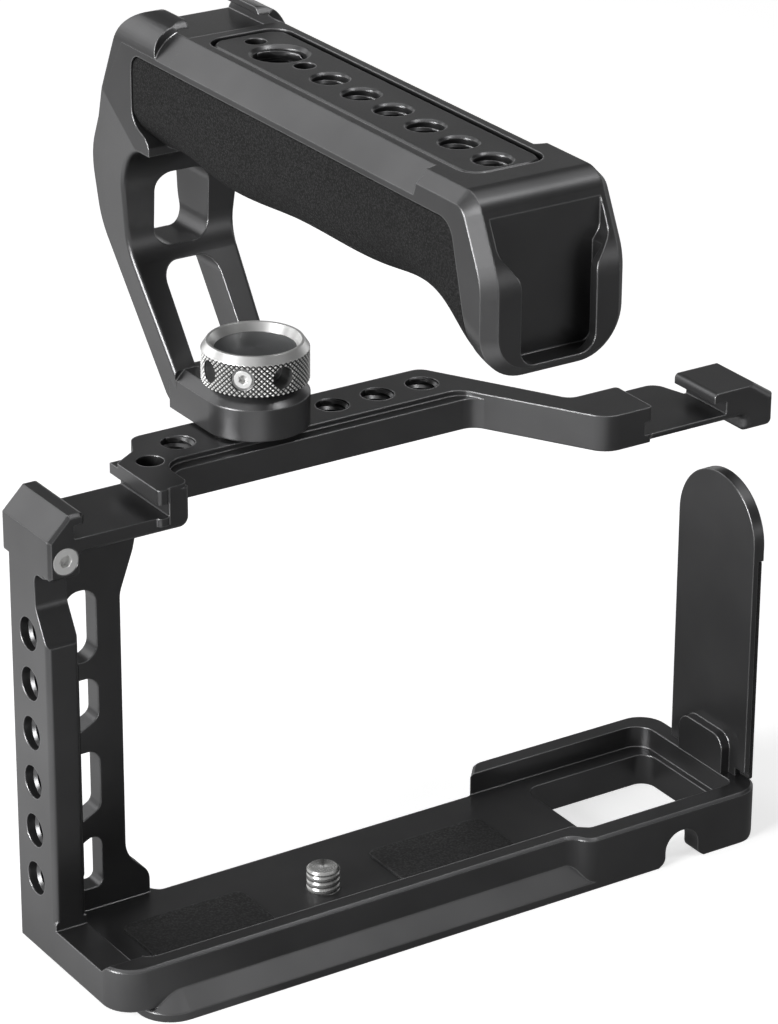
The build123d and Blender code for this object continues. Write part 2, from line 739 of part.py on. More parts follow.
with BuildPart() as handle_frame:
    add(grip_solid)
    # Bevel round the sides and bottom of the end face.
    chamfer(handle_frame.faces().sort_by(Axis.Y)[-1].edges().sort_by(Axis.Z)[:-1], end_bevel)
    split(bisect_by=Plane.XZ.offset(-arm_inner_y), keep=Keep.BOTTOM)

    # Arm: cranked forward over the lens side, full width under the grip.
    with BuildSketch(Plane.YZ.offset(-grip_half)):
        with BuildLine():
            outline([
                (arm_inner_y, handle_top_z - grip_depth, 0),
                (-48.6, handle_top_z - grip_depth, 11.9),
                (-49.9, plate_top_z + 27.9, 10),
                (-35.0, foot_top_z, 0),
                (-35.0, plate_top_z, 0),
                (-36.6, plate_top_z, 0.8),
                (-39.4, plate_top_z + 1.8, 1.5),
                (-60.8, plate_top_z + 30.1, 12),
                (-61.8, handle_top_z - 30.0, 14),
                (-43.0, handle_top_z, 9),
                (arm_inner_y, handle_top_z, 0),
            ])
        make_face()
    extrude(amount=2 * grip_half)

    # The arm's sides taper in towards the foot, from a slanting crease under the grip.
    for side in (-1, 1):
        crease = Plane(origin=(side * grip_half, -53.6, handle_top_z - 15), z_dir=(side * 284.2, -19.6, -27.4))
        split(bisect_by=crease, keep=Keep.BOTTOM)
    arm_edges = handle_frame.edges().filter_by(Axis.X, reverse=True).filter_by_position(Axis.Y, -49.0, -34.0)
    arm_edges = arm_edges.filter_by_position(Axis.Z, foot_top_z + 1, handle_top_z - grip_depth - 1)
    fillet(arm_edges, arm_edge)

    # Foot: a round boss under the knob that runs forward into the arm.
    with BuildSketch(Plane.XY.offset(plate_top_z)) as foot_plan:
        with Locations((0, plate_row_y)):
            Circle(foot_r)
        with Locations((0, plate_row_y - foot_r * 0.7)):
            Rectangle(2 * foot_r, foot_r * 1.4)
    extrude(amount=foot_height - foot_edge)
    with BuildSketch(Plane.XY.offset(foot_top_z - foot_edge)):
        add(foot_plan.sketch)
    extrude(amount=foot_edge, taper=45)

    # Two windows through the arm.
    with BuildSketch(Plane.XZ.offset(35)):
        with Locations((0, handle_top_z - 39.25)):
            RectangleRounded(arm_window, arm_window_high_height, 3.5)
        with Locations((0, plate_top_z + 15.1)):
            RectangleRounded(arm_window, arm_window_low_height, 3.5)
    extrude(amount=35, mode=Mode.SUBTRACT)

    # Seats for the grip pads, wrapped under the grip.
    add(pad_seat_space.part, mode=Mode.SUBTRACT)

    # Facets along the top edges, each with a round front end.
    for side in (-1, 1):
        facet = Plane(
            origin=(side * (grip_half - facet_drop / 2), 0, handle_top_z - facet_drop / 2),
            x_dir=(0, 1, 0),
            z_dir=(side, 0, 1),
        )
        with BuildSketch(facet):
            with Locations(((facet_front_y + facet_rear_y) / 2, 0)):
                RectangleRounded(facet_rear_y - facet_front_y, 10, 4.9)
        extrude(amount=5, mode=Mode.SUBTRACT)

    # Groove for the top rail, with the holes below it.
    with BuildSketch(Plane.XY.offset(handle_top_z)):
        with Locations((0, rail_middle_y)):
            RectangleRounded(2 * rail_groove_half, rail_length, 4)
    extrude(amount=-rail_depth, mode=Mode.SUBTRACT)
    with BuildSketch(Plane.XY.offset(rail_floor_z)):
        with Locations(*rail_row):
            Circle(quarter_bore_r + seat_gap)
        with Locations((0, rail_big_hole_y)):
            Circle(three_eighths_bore_r + seat_gap)
        with Locations(*rail_pins):
            Circle(rail_pin_r)
    extrude(amount=-rail_hole_depth, mode=Mode.SUBTRACT)
    with BuildSketch(Plane.XY.offset(rail_floor_z)):
        with Locations(*rail_screws):
            Circle(small_bore_r)
    extrude(amount=-grip_depth, mode=Mode.SUBTRACT)
    with BuildSketch(Plane.XY.offset(rail_floor_z - rail_screw_grip)):
        with Locations(*rail_screws):
            Circle(rail_screw_head_r + slip_gap)
    extrude(amount=-grip_depth, mode=Mode.SUBTRACT)

    # Cold shoe on top of the arm, open to the front, with its floor a step below the grip.
    add(top_shoe_block.part)
    with BuildSketch(Plane.XY.offset(top_shoe_floor_z)):
        with Locations((0, top_shoe_rear_y - 15)):
            Rectangle(shoe_slot_width, 30)
    extrude(amount=shoe_slot_height, mode=Mode.SUBTRACT)
    with BuildSketch(Plane.XY.offset(top_shoe_floor_z)):
        with Locations((0, top_shoe_rear_y - 15)):
            Rectangle(shoe_opening, 30)
    extrude(amount=10, mode=Mode.SUBTRACT)

    # Cold shoe in the end block, entered from the top, between two curved lips.
    with BuildSketch(Plane.XZ.offset(-end_floor_y)):
        with BuildLine():
            outline([
                (-end_opening_half, end_slot_low_z, 3),
                (end_opening_half, end_slot_low_z, 3),
                (end_opening_half, end_slot_low_z + 14.7, 3.5),
                (end_entry_half, end_slot_low_z + 19.2, 3.5),
                (end_entry_half, handle_top_z + 5, 0),
                (-end_entry_half, handle_top_z + 5, 0),
                (-end_entry_half, end_slot_low_z + 19.2, 3.5),
                (-end_opening_half, end_slot_low_z + 14.7, 3.5),
            ])
        make_face()
    extrude(amount=-end_slot_floor_depth - 1, mode=Mode.SUBTRACT)
    with BuildSketch(Plane.XZ.offset(-end_floor_y)):
        with Locations((0, end_slot_low_z + 12.5)):
            RectangleRounded(shoe_slot_width, 25, 2)
    extrude(amount=-shoe_slot_height, mode=Mode.SUBTRACT)

    # Foot: the thumb screw's neck hole and thread recess, and the locating pins' holes.
    with BuildSketch(Plane.XY.offset(plate_top_z)):
        with Locations((0, plate_row_y)):
            Circle(stud_neck_r + slip_gap)
    extrude(amount=foot_height + knob_height + washer_thickness, mode=Mode.SUBTRACT)
    with BuildSketch(Plane.XY.offset(plate_top_z)):
        with Locations((0, plate_row_y)):
            Circle(quarter_thread_r + seat_gap)
    extrude(amount=foot_height - foot_web, mode=Mode.SUBTRACT)
    with BuildSketch(Plane.XY.offset(plate_top_z)):
        with Locations(*pin_places):
            Circle(pin_r + slip_gap)
    extrude(amount=pin_seat, mode=Mode.SUBTRACT)
finish(handle_frame, "handle_frame")

with BuildPart() as top_rail:
    with BuildSketch(Plane.XY.offset(rail_floor_z)):
        with Locations((0, rail_middle_y)):
            RectangleRounded(2 * rail_half, rail_length - 2 * rail_slack, 4 - rail_slack)
    extrude(amount=rail_depth - rail_below_top)
    chamfer(top_rail.faces().sort_by(Axis.Z)[-1].edges(), rail_edge)
    with BuildSketch(Plane.XY.offset(rail_floor_z)):
        with Locations(*rail_row):
            Circle(quarter_bore_r)
        with Locations((0, rail_big_hole_y)):
            Circle(three_eighths_bore_r)
        with Locations(*rail_pins):
            Circle(rail_pin_r)
    extrude(amount=rail_depth, mode=Mode.SUBTRACT)
    with BuildSketch(Plane.XY.offset(handle_top_z - rail_below_top)):
        with Locations(*rail_row):
            Circle(quarter_bore_r + quarter_mouth)
    extrude(amount=-quarter_mouth, taper=45, mode=Mode.SUBTRACT)
    with BuildSketch(Plane.XY.offset(handle_top_z - rail_below_top)):
        with Locations((0, rail_big_hole_y)):
            Circle(three_eighths_bore_r + three_eighths_mouth)
    extrude(amount=-three_eighths_mouth, taper=45, mode=Mode.SUBTRACT)
    with BuildSketch(Plane.XY.offset(rail_floor_z)):
        with Locations(*rail_screws):
            Circle(small_bore_r)
    extrude(amount=rail_screw_reach + 0.2, mode=Mode.SUBTRACT)
finish(top_rail, "top_rail")

with BuildPart() as top_rail_screws:
    with BuildSketch(Plane.XY.offset(rail_floor_z - rail_screw_grip)):
        with Locations(*rail_screws):
            Circle(small_thread_r)
    extrude(amount=rail_screw_grip + rail_screw_reach)
    with BuildSketch(Plane.XY.offset(rail_floor_z - rail_screw_grip)):
        with Locations(*rail_screws):
            Circle(rail_screw_head_r)
    extrude(amount=-small_thread_r)
    with BuildSketch(Plane.XY.offset(rail_floor_z - rail_screw_grip - small_thread_r)):
        with Locations(*rail_screws):
            RegularPolygon(1, 6, major_radius=False)
    extrude(amount=1, mode=Mode.SUBTRACT)
finish(top_rail_screws, "top_rail_screws")

# Grip pads: what lies between the core and a skin just inside the grip's own, in two halves.
pad_skin = grip_bar(pad_recess, grip_half - pad_recess, grip_corner - pad_recess)
for side, name in ((1, "grip_pad_left"), (-1, "grip_pad_right")):
    with BuildPart() as grip_pad:
        with BuildSketch(Plane.YZ):
            with BuildLine():
                outline(pad_outline)
            make_face()
        extrude(amount=side * (grip_half + 1))
        add(pad_skin, mode=Mode.INTERSECT)
        add(grip_core, mode=Mode.SUBTRACT)
    finish(grip_pad, name)

# ---------------------------------------------------------------- locating pins and thumb screw
with BuildPart() as locating_pins:
    with BuildSketch(Plane.XY.offset(plate_top_z - pin_reach)):
        with Locations(*pin_places):
            Circle(pin_r)
    extrude(amount=pin_reach + pin_seat)
    chamfer(locating_pins.faces().sort_by(Axis.Z)[:2].edges(), 0.4)
finish(locating_pins, "locating_pins")

knob_low_z = foot_top_z + washer_thickness
knob_top_z = knob_low_z + knob_height
knob_hole_z = knob_low_z + knob_hole_height
cap_top_z = knob_top_z - knob_recess
cap_low_z = cap_top_z - cap_thickness
knob_axis = Axis((0, plate_row_y, 0), (0, 0, 1))
knob_plane = Plane(origin=(0, plate_row_y, 0), x_dir=(1, 0, 0), z_dir=(0, -1, 0))

with BuildPart() as thrust_washer:
    with BuildSketch(Plane.XY.offset(foot_top_z)):
        with Locations((0, plate_row_y)):
            Circle(washer_r)
            Circle(stud_neck_r + slip_gap, mode=Mode.SUBTRACT)
    extrude(amount=washer_thickness)
finish(thrust_washer, "thrust_washer")

with BuildPart() as knob_stud:
    with BuildSketch(knob_plane):
        with BuildLine():
            Polyline(
                (0, plate_top_z - stud_reach),
                (quarter_thread_r - 0.6, plate_top_z - stud_reach),
                (quarter_thread_r, plate_top_z - stud_reach + 0.6),
                (quarter_thread_r, plate_top_z + 0.2),
                (stud_neck_r, plate_top_z + 0.2),
                (stud_neck_r, cap_low_z),
                (0, cap_low_z),
                close=True,
            )
        make_face()
    revolve(axis=knob_axis)
finish(knob_stud, "knob_stud")


def knob_wall(angle, reach):
    # A plane facing outward across the knob, reach from its axis.
    out = Vector(1, 0, 0).rotate(Axis.Z, angle)
    return Plane(origin=Vector(0, plate_row_y, knob_hole_z) + out * reach, x_dir=(0, 0, 1), z_dir=out)


with BuildPart() as thumb_knob:
    with BuildSketch(knob_plane):
        with BuildLine():
            Polyline(
                (stud_neck_r, knob_low_z),
                (knob_r - knob_low_bevel, knob_low_z),
                (knob_r, knob_low_z + knob_low_bevel),
                (knob_r, knob_top_z - knob_bevel_height),
                (knob_r - knob_top_bevel, knob_top_z),
                (knob_rim_r, knob_top_z),
                (knob_recess_r, cap_top_z),
                (knob_recess_r, cap_low_z),
                (stud_neck_r, cap_low_z),
                close=True,
            )
        make_face()
    revolve(axis=knob_axis)
    for angle in range(0, 360, 90):
        with BuildSketch(knob_wall(angle, knob_r - tommy_depth)):
            Circle(tommy_r)
        extrude(amount=knob_r, mode=Mode.SUBTRACT)
    for angle in set_screw_angles:
        with BuildSketch(knob_wall(angle, 0)):
            Circle(set_screw_r)
        extrude(amount=knob_r + 1, mode=Mode.SUBTRACT)
finish(thumb_knob, "thumb_knob")

with BuildPart() as knob_set_screws:
    for angle in set_screw_angles:
        with BuildSketch(knob_wall(angle, stud_neck_r)):
            Circle(set_screw_r)
        extrude(amount=knob_r - set_screw_sink - stud_neck_r)
        with BuildSketch(knob_wall(angle, knob_r - set_screw_sink)):
            RegularPolygon(set_screw_hex / 2, 6, major_radius=False)
        extrude(amount=-set_screw_hex_depth, mode=Mode.SUBTRACT)
finish(knob_set_screws, "knob_set_screws")

with BuildPart() as knob_cap:
    with BuildSketch(Plane.XY.offset(cap_low_z)):
        with Locations((0, plate_row_y)):
            Circle(knob_recess_r)
    extrude(amount=cap_thickness)
finish(knob_cap, "knob_cap")

# ---------------------------------------------------------------- camera screw and pads
with BuildPart() as camera_screw_washer:
    with BuildSketch(Plane.XY.offset(camera_seat_z)):
        Circle(camera_head_r)
        Circle(quarter_thread_r + slip_gap, mode=Mode.SUBTRACT)
    extrude(amount=-camera_washer_thickness)
finish(camera_screw_washer, "camera_screw_washer")

with BuildPart() as camera_screw:
    with BuildSketch(Plane.XY.offset(camera_head_recess)):
        Circle(camera_head_r)
    extrude(amount=camera_head_height)
    chamfer(camera_screw.faces().sort_by(Axis.Z)[0].edges(), 0.4)
    with BuildSketch(Plane.XY.offset(camera_head_recess + camera_head_height)):
        Circle(quarter_thread_r)
    extrude(amount=camera_washer_thickness + rim_z - camera_seat_z)
    chamfer(camera_screw.faces().sort_by(Axis.Z)[-1].edges(), 0.5)
    # Coin slot across the head and the hex socket in its middle.
    with BuildSketch(Plane.XY.offset(camera_head_recess)):
        Rectangle(2 * camera_head_r + 1, coin_slot_width)
    extrude(amount=coin_slot_depth, mode=Mode.SUBTRACT)
    with BuildSketch(Plane.XY.offset(camera_head_recess)):
        RegularPolygon(camera_hex / 2, 6, major_radius=False)
    extrude(amount=camera_hex_depth, mode=Mode.SUBTRACT)
finish(camera_screw, "camera_screw")

with BuildPart() as lug_lock_screw:
    with BuildSketch(Plane(origin=(lug_screw_x, 0, lug_screw_z), x_dir=(1, 0, 0), z_dir=(0, 0, 1))):
        with BuildLine():
            Polyline(
                (0, post_shoe_rear_y),
                (lug_head_r, post_shoe_rear_y),
                (lug_head_r, post_shoe_rear_y - lug_rim),
                (small_thread_r, post_shoe_rear_y - lug_rim - lug_head_r + small_thread_r),
                (small_thread_r, post_shoe_rear_y - lug_screw_length),
                (0, post_shoe_rear_y - lug_screw_length),
                close=True,
            )
        make_face()
    revolve(axis=Axis((lug_screw_x, 0, lug_screw_z), (0, 1, 0)))
    with BuildSketch(Plane.XZ.offset(-post_shoe_rear_y)):
        with Locations((lug_screw_x, lug_screw_z)):
            RegularPolygon(lug_hex / 2, 6, major_radius=False)
    extrude(amount=lug_hex_depth, mode=Mode.SUBTRACT)
finish(lug_lock_screw, "lug_lock_screw")

with BuildPart() as base_pads:
    with BuildSketch(Plane.XY.offset(tray_floor_z - pad_seat)):
        with Locations((base_pad_x, 0), (-base_pad_x, 0)):
            RectangleRounded(base_pad_length, base_pad_width, 2)
    extrude(amount=pad_seat + pad_rise)
finish(base_pads, "base_pads")

with BuildPart() as side_pad:
    with BuildSketch(Plane.YZ.offset(post_inner_x - pad_rise)):
        with Locations((side_pad_y, side_pad_z)):
            RectangleRounded(side_pad_width, side_pad_height, 1)
    extrude(amount=pad_rise + pad_seat)
finish(side_pad, "side_pad")

# ---------------------------------------------------------------- grip upright
with BuildPart() as grip_post:
    # A plate with a round top, seated outside by the pad, on a thicker foot.
    with BuildSketch(Plane.YZ.offset(base_end_x)):
        with BuildLine():
            outline([
                (upright_front_y, rim_z, 0),
                (upright_rear_y, rim_z, 0),
                (upright_rear_y, upright_top_z, upright_top_r),
                (upright_front_y, upright_top_z, upright_top_r),
            ])
        make_face()
    extrude(amount=upright_thickness)
    with BuildSketch(Plane.YZ.offset(upright_inner_x)):
        with BuildLine():
            outline([
                (upright_middle_y - upright_foot_depth / 2, rim_z, 0),
                (upright_middle_y + upright_foot_depth / 2, rim_z, 0),
                (upright_middle_y + upright_foot_depth / 2, upright_foot_z, 3),
                (upright_middle_y - upright_foot_depth / 2, upright_foot_z, 3),
            ])
        make_face()
    extrude(amount=end_wall - upright_thickness)
    with BuildSketch(Plane.YZ.offset(base_end_x)):
        with Locations((upright_middle_y, (rim_z + upright_pad_top_z) / 2)):
            Rectangle(upright_depth, upright_pad_top_z - rim_z)
    extrude(amount=upright_pad_thickness, mode=Mode.SUBTRACT)
    # Relief at the rear of its foot, and the screw holes.
    with BuildSketch(Plane.YZ.offset(base_end_x)):
        with Locations((upright_rear_y, rim_z)):
            Rectangle(2 * upright_notch_depth, 2 * upright_notch_height)
    extrude(amount=upright_thickness, mode=Mode.SUBTRACT)
    with BuildSketch(Plane.XY.offset(rim_z)):
        with Locations(*upright_screw_places):
            Circle(upright_screw_r + slip_gap)
    extrude(amount=upright_screw_grip + 0.3, mode=Mode.SUBTRACT)
finish(grip_post, "grip_post")

with BuildPart() as grip_post_pad:
    with BuildSketch(Plane.YZ.offset(base_end_x)):
        with Locations((upright_middle_y, (rim_z + upright_pad_top_z) / 2)):
            Rectangle(upright_depth, upright_pad_top_z - rim_z)
    extrude(amount=upright_pad_thickness)
    fillet(grip_post_pad.faces().sort_by(Axis.X)[0].edges(), upright_pad_edge)
finish(grip_post_pad, "grip_post_pad")

with BuildPart() as grip_post_screws:
    with BuildSketch(Plane.XY.offset(upright_head_z)):
        with Locations(*upright_screw_places):
            Circle(upright_screw_r)
    extrude(amount=rim_z - upright_head_z + upright_screw_grip)
    with BuildSketch(Plane.XY.offset(upright_head_z)):
        with Locations(*upright_screw_places):
            Circle(upright_head_r)
    extrude(amount=-upright_head_height)
    with BuildSketch(Plane.XY.offset(upright_head_z - upright_head_height)):
        with Locations(*upright_screw_places):
            RegularPolygon(0.75, 6, major_radius=False)
    extrude(amount=0.8, mode=Mode.SUBTRACT)
finish(grip_post_screws, "grip_post_screws")
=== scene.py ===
import bpy
import bmesh
import math
from mathutils import Matrix, Vector
from mathutils.bvhtree import BVHTree
from mathutils.kdtree import KDTree


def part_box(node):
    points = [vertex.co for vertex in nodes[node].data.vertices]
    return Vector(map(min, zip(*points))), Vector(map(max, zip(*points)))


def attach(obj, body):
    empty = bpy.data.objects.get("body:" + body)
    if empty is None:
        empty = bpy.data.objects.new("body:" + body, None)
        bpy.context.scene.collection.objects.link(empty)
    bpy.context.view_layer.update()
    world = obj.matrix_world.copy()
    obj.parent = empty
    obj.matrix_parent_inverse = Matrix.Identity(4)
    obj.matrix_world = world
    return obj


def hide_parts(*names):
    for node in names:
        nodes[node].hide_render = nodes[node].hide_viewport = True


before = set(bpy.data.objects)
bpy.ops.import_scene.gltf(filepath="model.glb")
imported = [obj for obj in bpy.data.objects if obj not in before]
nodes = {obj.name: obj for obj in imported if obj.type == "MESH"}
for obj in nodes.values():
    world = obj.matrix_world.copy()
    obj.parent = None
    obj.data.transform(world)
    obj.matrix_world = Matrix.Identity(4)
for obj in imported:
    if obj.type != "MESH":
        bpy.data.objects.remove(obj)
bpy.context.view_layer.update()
mm = 0.001
knobAxis = (0, -23.2, 0)    # of the upright thumb screw
print("frame loaded:", len(nodes), "nodes")


# objects and meshes
def addObject(name, data):
    made = bpy.data.objects.new(name, data)
    bpy.context.collection.objects.link(made)
    return made


def meshFrom(bm, name):
    mesh = bpy.data.meshes.new(name)
    bm.to_mesh(mesh)
    bm.free()
    return mesh


# camera
cameraView = {
    "place": (0.3638, 0.5824, 0.3902),
    "right": (-0.8399, 0.5428, 0.0049),
    "up": (-0.2172, -0.3443, 0.9134),
    "lens": 145.5,
    "nearest": 0.01,
}


def addCamera(view):
    data = bpy.data.cameras.new("camera")
    data.lens = view["lens"]
    data.clip_start = view["nearest"]
    camera = addObject("camera", data)
    right = Vector(view["right"]).normalized()
    up = Vector(view["up"])
    back = right.cross(up).normalized()
    up = back.cross(right)
    turn = Matrix((right, up, back)).transposed().to_4x4()
    camera.matrix_world = Matrix.Translation(view["place"]) @ turn
    bpy.context.scene.camera = camera


addCamera(cameraView)
bpy.context.scene.view_settings.view_transform = "Standard"
print("camera placed")


# node trees
def addNode(tree, kind, settings=None, values=None, links=None):
    made = tree.nodes.new(kind)
    for key, value in (settings or {}).items():
        setattr(made, key, value)
    for key, value in (values or {}).items():
        made.inputs[key].default_value = value
    for key, source in (links or {}).items():
        tree.links.new(source, made.inputs[key])
    return made


def feed(tree, socket, value):
    # A number or a color is set, another node's output is linked.
    if isinstance(value, (int, float)):
        socket.default_value = value
    elif isinstance(value, tuple):
        socket.default_value = (*value, 1)
    else:
        tree.links.new(value, socket)


def calculate(tree, operation, *terms):
    made = addNode(tree, "ShaderNodeMath", {"operation": operation})
    for index, term in enumerate(terms):
        feed(tree, made.inputs[index], term)
    return made.outputs[0]


def calculateVector(tree, operation, values=None, links=None):
    return addNode(tree, "ShaderNodeVectorMath", {"operation": operation}, values, links).outputs


def mixColors(tree, factor, first, second):
    mixed = addNode(tree, "ShaderNodeMix", {"data_type": "RGBA", "clamp_result": True})
    # the node has sockets for other kinds of data between these
    for index, value in ((0, factor), (6, first), (7, second)):
        feed(tree, mixed.inputs[index], value)
    return mixed.outputs[2]


def spread(tree, source, fromLow, fromHigh, toLow, toHigh):
    values = {"From Min": fromLow, "From Max": fromHigh, "To Min": toLow, "To Max": toHigh}
    return addNode(tree, "ShaderNodeMapRange", None, values, {"Value": source}).outputs[0]


def splitParts(tree, source):
    return addNode(tree, "ShaderNodeSeparateXYZ", links={0: source}).outputs


def objectPlace(tree):
    return addNode(tree, "ShaderNodeTexCoord").outputs["Object"]


def addBump(tree, shader, strength, depth, links):
    bump = addNode(tree, "ShaderNodeBump", None, {"Strength": strength, "Distance": depth * mm}, links)
    tree.links.new(bump.outputs[0], shader.inputs["Normal"])


def newGroup(name, inputs, outputs):
    tree = bpy.data.node_groups.new(name, "ShaderNodeTree")
    for way, sockets in (("INPUT", inputs), ("OUTPUT", outputs)):
        for label, kind in sockets.items():
            tree.interface.new_socket(name=label, in_out=way, socket_type="NodeSocket" + kind)
    return tree, tree.nodes.new("NodeGroupInput").outputs, tree.nodes.new("NodeGroupOutput").inputs


def useGroup(tree, group, values):
    return addNode(tree, "ShaderNodeGroup", {"node_tree": group}, values).outputs


def newMaterial(name, roughness, metallic, specular=0.5):
    material = bpy.data.materials.new(name)
    material.use_nodes = True
    shader = material.node_tree.nodes["Principled BSDF"]
    shader.inputs["Roughness"].default_value = roughness
    shader.inputs["Metallic"].default_value = metallic
    shader.inputs["Specular IOR Level"].default_value = specular
    return material, material.node_tree, shader


# studio
studio = {
    "floorSize": 6.0,
    "floorColor": (0.86, 0.86, 0.86),
    "floorRoughness": 0.9,
    "floorSpecular": 0.1,
    "floorLift": 0.6,            # how much white the floor shows by itself
    # along X, a reflection finds the floor dark, then white by the side post, then greyer
    "cardFade": (0.02, 0.09),
    "cardLevels": (0.16, 1.0),
    "farFade": (0.145, 0.2),
    "farLevels": (1.0, 0.35),
    "worldColor": (0.9, 0.9, 0.9),
    "worldStrength": 0.2,
    # what a reflection finds above the floor, by the sine of the elevation
    "glossLevels": ((0.0, 1.0), (0.14, 1.0), (0.26, 0.08), (0.70, 0.08), (0.82, 1.0)),
}
lamps = {
    "leftBox": {"place": (1.3, 0.1, 0.42), "target": (0, 0, 0.08), "size": (0.7, 0.66), "watts": 24},
    "frontBox": {"place": (0.55, -1.05, 0.72), "target": (0, 0, 0.1), "size": (0.8, 0.7), "watts": 2.5},
    "overBox": {"place": (-0.55, 0.54, 1.42), "target": (0, 0.03, 0.12), "size": (0.34, 0.28), "watts": 2.6},
}
white = (1, 1, 1, 1)


def addWorld(spec):
    world = bpy.data.worlds.new("studio")
    bpy.context.scene.world = world
    world.use_nodes = True
    tree = world.node_tree
    tree.nodes.clear()
    path = addNode(tree, "ShaderNodeLightPath").outputs
    place = addNode(tree, "ShaderNodeTexCoord").outputs["Generated"]
    fade = addNode(tree, "ShaderNodeValToRGB", links={0: splitParts(tree, place)["Z"]})
    stops = fade.color_ramp.elements
    while len(stops) < len(spec["glossLevels"]):
        stops.new(1.0)
    for stop, (sine, level) in zip(stops, spec["glossLevels"]):
        stop.position = sine
        stop.color = (level, level, level, 1)
    values = {"Color": (*spec["worldColor"], 1), "Strength": spec["worldStrength"]}
    soft = addNode(tree, "ShaderNodeBackground", values=values).outputs[0]
    shine = addNode(tree, "ShaderNodeBackground", links={"Color": fade.outputs["Color"]}).outputs[0]
    blank = addNode(tree, "ShaderNodeBackground", values={"Color": white}).outputs[0]
    gloss = calculate(tree, "MAXIMUM", path["Is Glossy Ray"], path["Is Transmission Ray"])
    lit = addNode(tree, "ShaderNodeMixShader", links={0: gloss, 1: soft, 2: shine}).outputs[0]
    seen = addNode(tree, "ShaderNodeMixShader", links={0: path["Is Camera Ray"], 1: lit, 2: blank}).outputs[0]
    addNode(tree, "ShaderNodeOutputWorld", links={"Surface": seen})


def addLamps(lamps):
    for name, spec in lamps.items():
        data = bpy.data.lights.new(name, "AREA")
        data.shape = "RECTANGLE"
        data.size, data.size_y = spec["size"]
        data.energy = spec["watts"]
        lamp = addObject(name, data)
        lamp.location = spec["place"]
        aim = Vector(spec["target"]) - Vector(spec["place"])
        lamp.rotation_euler = aim.to_track_quat("-Z", "Y").to_euler()


def addFloor(spec):
    bm = bmesh.new()
    bmesh.ops.create_grid(bm, x_segments=1, y_segments=1, size=spec["floorSize"] / 2)
    floor = addObject("floor", meshFrom(bm, "floor"))
    material, tree, shader = newMaterial("paleFloor", spec["floorRoughness"], 0.0, spec["floorSpecular"])
    shader.inputs["Base Color"].default_value = (*spec["floorColor"], 1)
    shader.inputs["Emission Color"].default_value = white
    path = addNode(tree, "ShaderNodeLightPath").outputs
    rays = calculate(tree, "MAXIMUM", path["Is Camera Ray"], path["Is Transmission Ray"])
    tree.links.new(calculate(tree, "MULTIPLY", rays, spec["floorLift"]), shader.inputs["Emission Strength"])
    across = splitParts(tree, objectPlace(tree))["X"]
    near = spread(tree, across, *spec["cardFade"], *spec["cardLevels"])
    far = spread(tree, across, *spec["farFade"], *spec["farLevels"])
    card = addNode(tree, "ShaderNodeEmission", links={"Strength": calculate(tree, "MULTIPLY", near, far)})
    links = {0: path["Is Glossy Ray"], 1: shader.outputs[0], 2: card.outputs[0]}
    seen = addNode(tree, "ShaderNodeMixShader", links=links)
    tree.links.new(seen.outputs[0], tree.nodes["Material Output"].inputs["Surface"])
    floor.data.materials.append(material)


addWorld(studio)
addLamps(lamps)
addFloor(studio)
print("studio lit")


# shared effects
edgeSettings = {
    "samples": 6,
    "match": (0.985, 0.8),    # how far the rounded normal agrees with the flat one: off the edge, on it
}
grainSettings = {
    "grainDetail": 2.0,
    "driftDetail": 3.0,
}
noiseReach = (0.3, 0.7)    # where most of a noise texture's values lie


def makeEdgeLight(settings):
    group, inputs, outputs = newGroup("edgeLight", {"Radius": "Float"}, {"Edge": "Float", "Normal": "Vector"})
    links = {"Radius": inputs["Radius"]}
    rounded = addNode(group, "ShaderNodeBevel", {"samples": settings["samples"]}, links=links).outputs[0]
    plain = addNode(group, "ShaderNodeNewGeometry").outputs["Normal"]
    match = calculateVector(group, "DOT_PRODUCT", links={0: rounded, 1: plain})["Value"]
    group.links.new(spread(group, match, *settings["match"], 0.0, 1.0), outputs["Edge"])
    group.links.new(rounded, outputs["Normal"])
    return group


def makeFineGrain(settings):
    # Grain is the fine blasted texture, Drift the slow change of tone over a face.
    group, inputs, outputs = newGroup(
        "fineGrain", {"Scale": "Float", "Drift Scale": "Float"}, {"Grain": "Float", "Drift": "Float"}
    )
    place = objectPlace(group)
    for label, scale, detail in (("Grain", "Scale", "grainDetail"), ("Drift", "Drift Scale", "driftDetail")):
        links = {"Vector": place, "Scale": inputs[scale]}
        noise = addNode(group, "ShaderNodeTexNoise", values={"Detail": settings[detail]}, links=links)
        group.links.new(noise.outputs[0], outputs[label])
    return group


def offsetFrom(group, axisPlace):
    return calculateVector(group, "SUBTRACT", links={0: objectPlace(group), 1: axisPlace})[0]


def angleRound(group, parts):
    return calculate(group, "ARCTAN2", parts["Y"], parts["X"])


def makeAxisRings():
    # Rings cut by a lathe round an upright axis, the distance from it, and the glint's two streaks.
    group, inputs, outputs = newGroup(
        "axisRings",
        {"Axis Place": "Vector", "Pitch": "Float"},
        {"Rings": "Float", "Distance": "Float", "Streaks": "Float"},
    )
    offset = offsetFrom(group, inputs["Axis Place"])
    flat = calculateVector(group, "MULTIPLY", {1: (1, 1, 0)}, {0: offset})[0]
    distance = calculateVector(group, "LENGTH", links={0: flat})["Value"]
    links = {"W": calculate(group, "DIVIDE", distance, inputs["Pitch"])}
    values = {"Scale": 1.0, "Detail": 1.0}
    rings = addNode(group, "ShaderNodeTexNoise", {"noise_dimensions": "1D"}, values, links)
    angle = angleRound(group, splitParts(group, flat))
    streaks = calculate(group, "COSINE", calculate(group, "MULTIPLY", angle, 2.0))
    group.links.new(rings.outputs[0], outputs["Rings"])
    group.links.new(distance, outputs["Distance"])
    group.links.new(streaks, outputs["Streaks"])
    return group


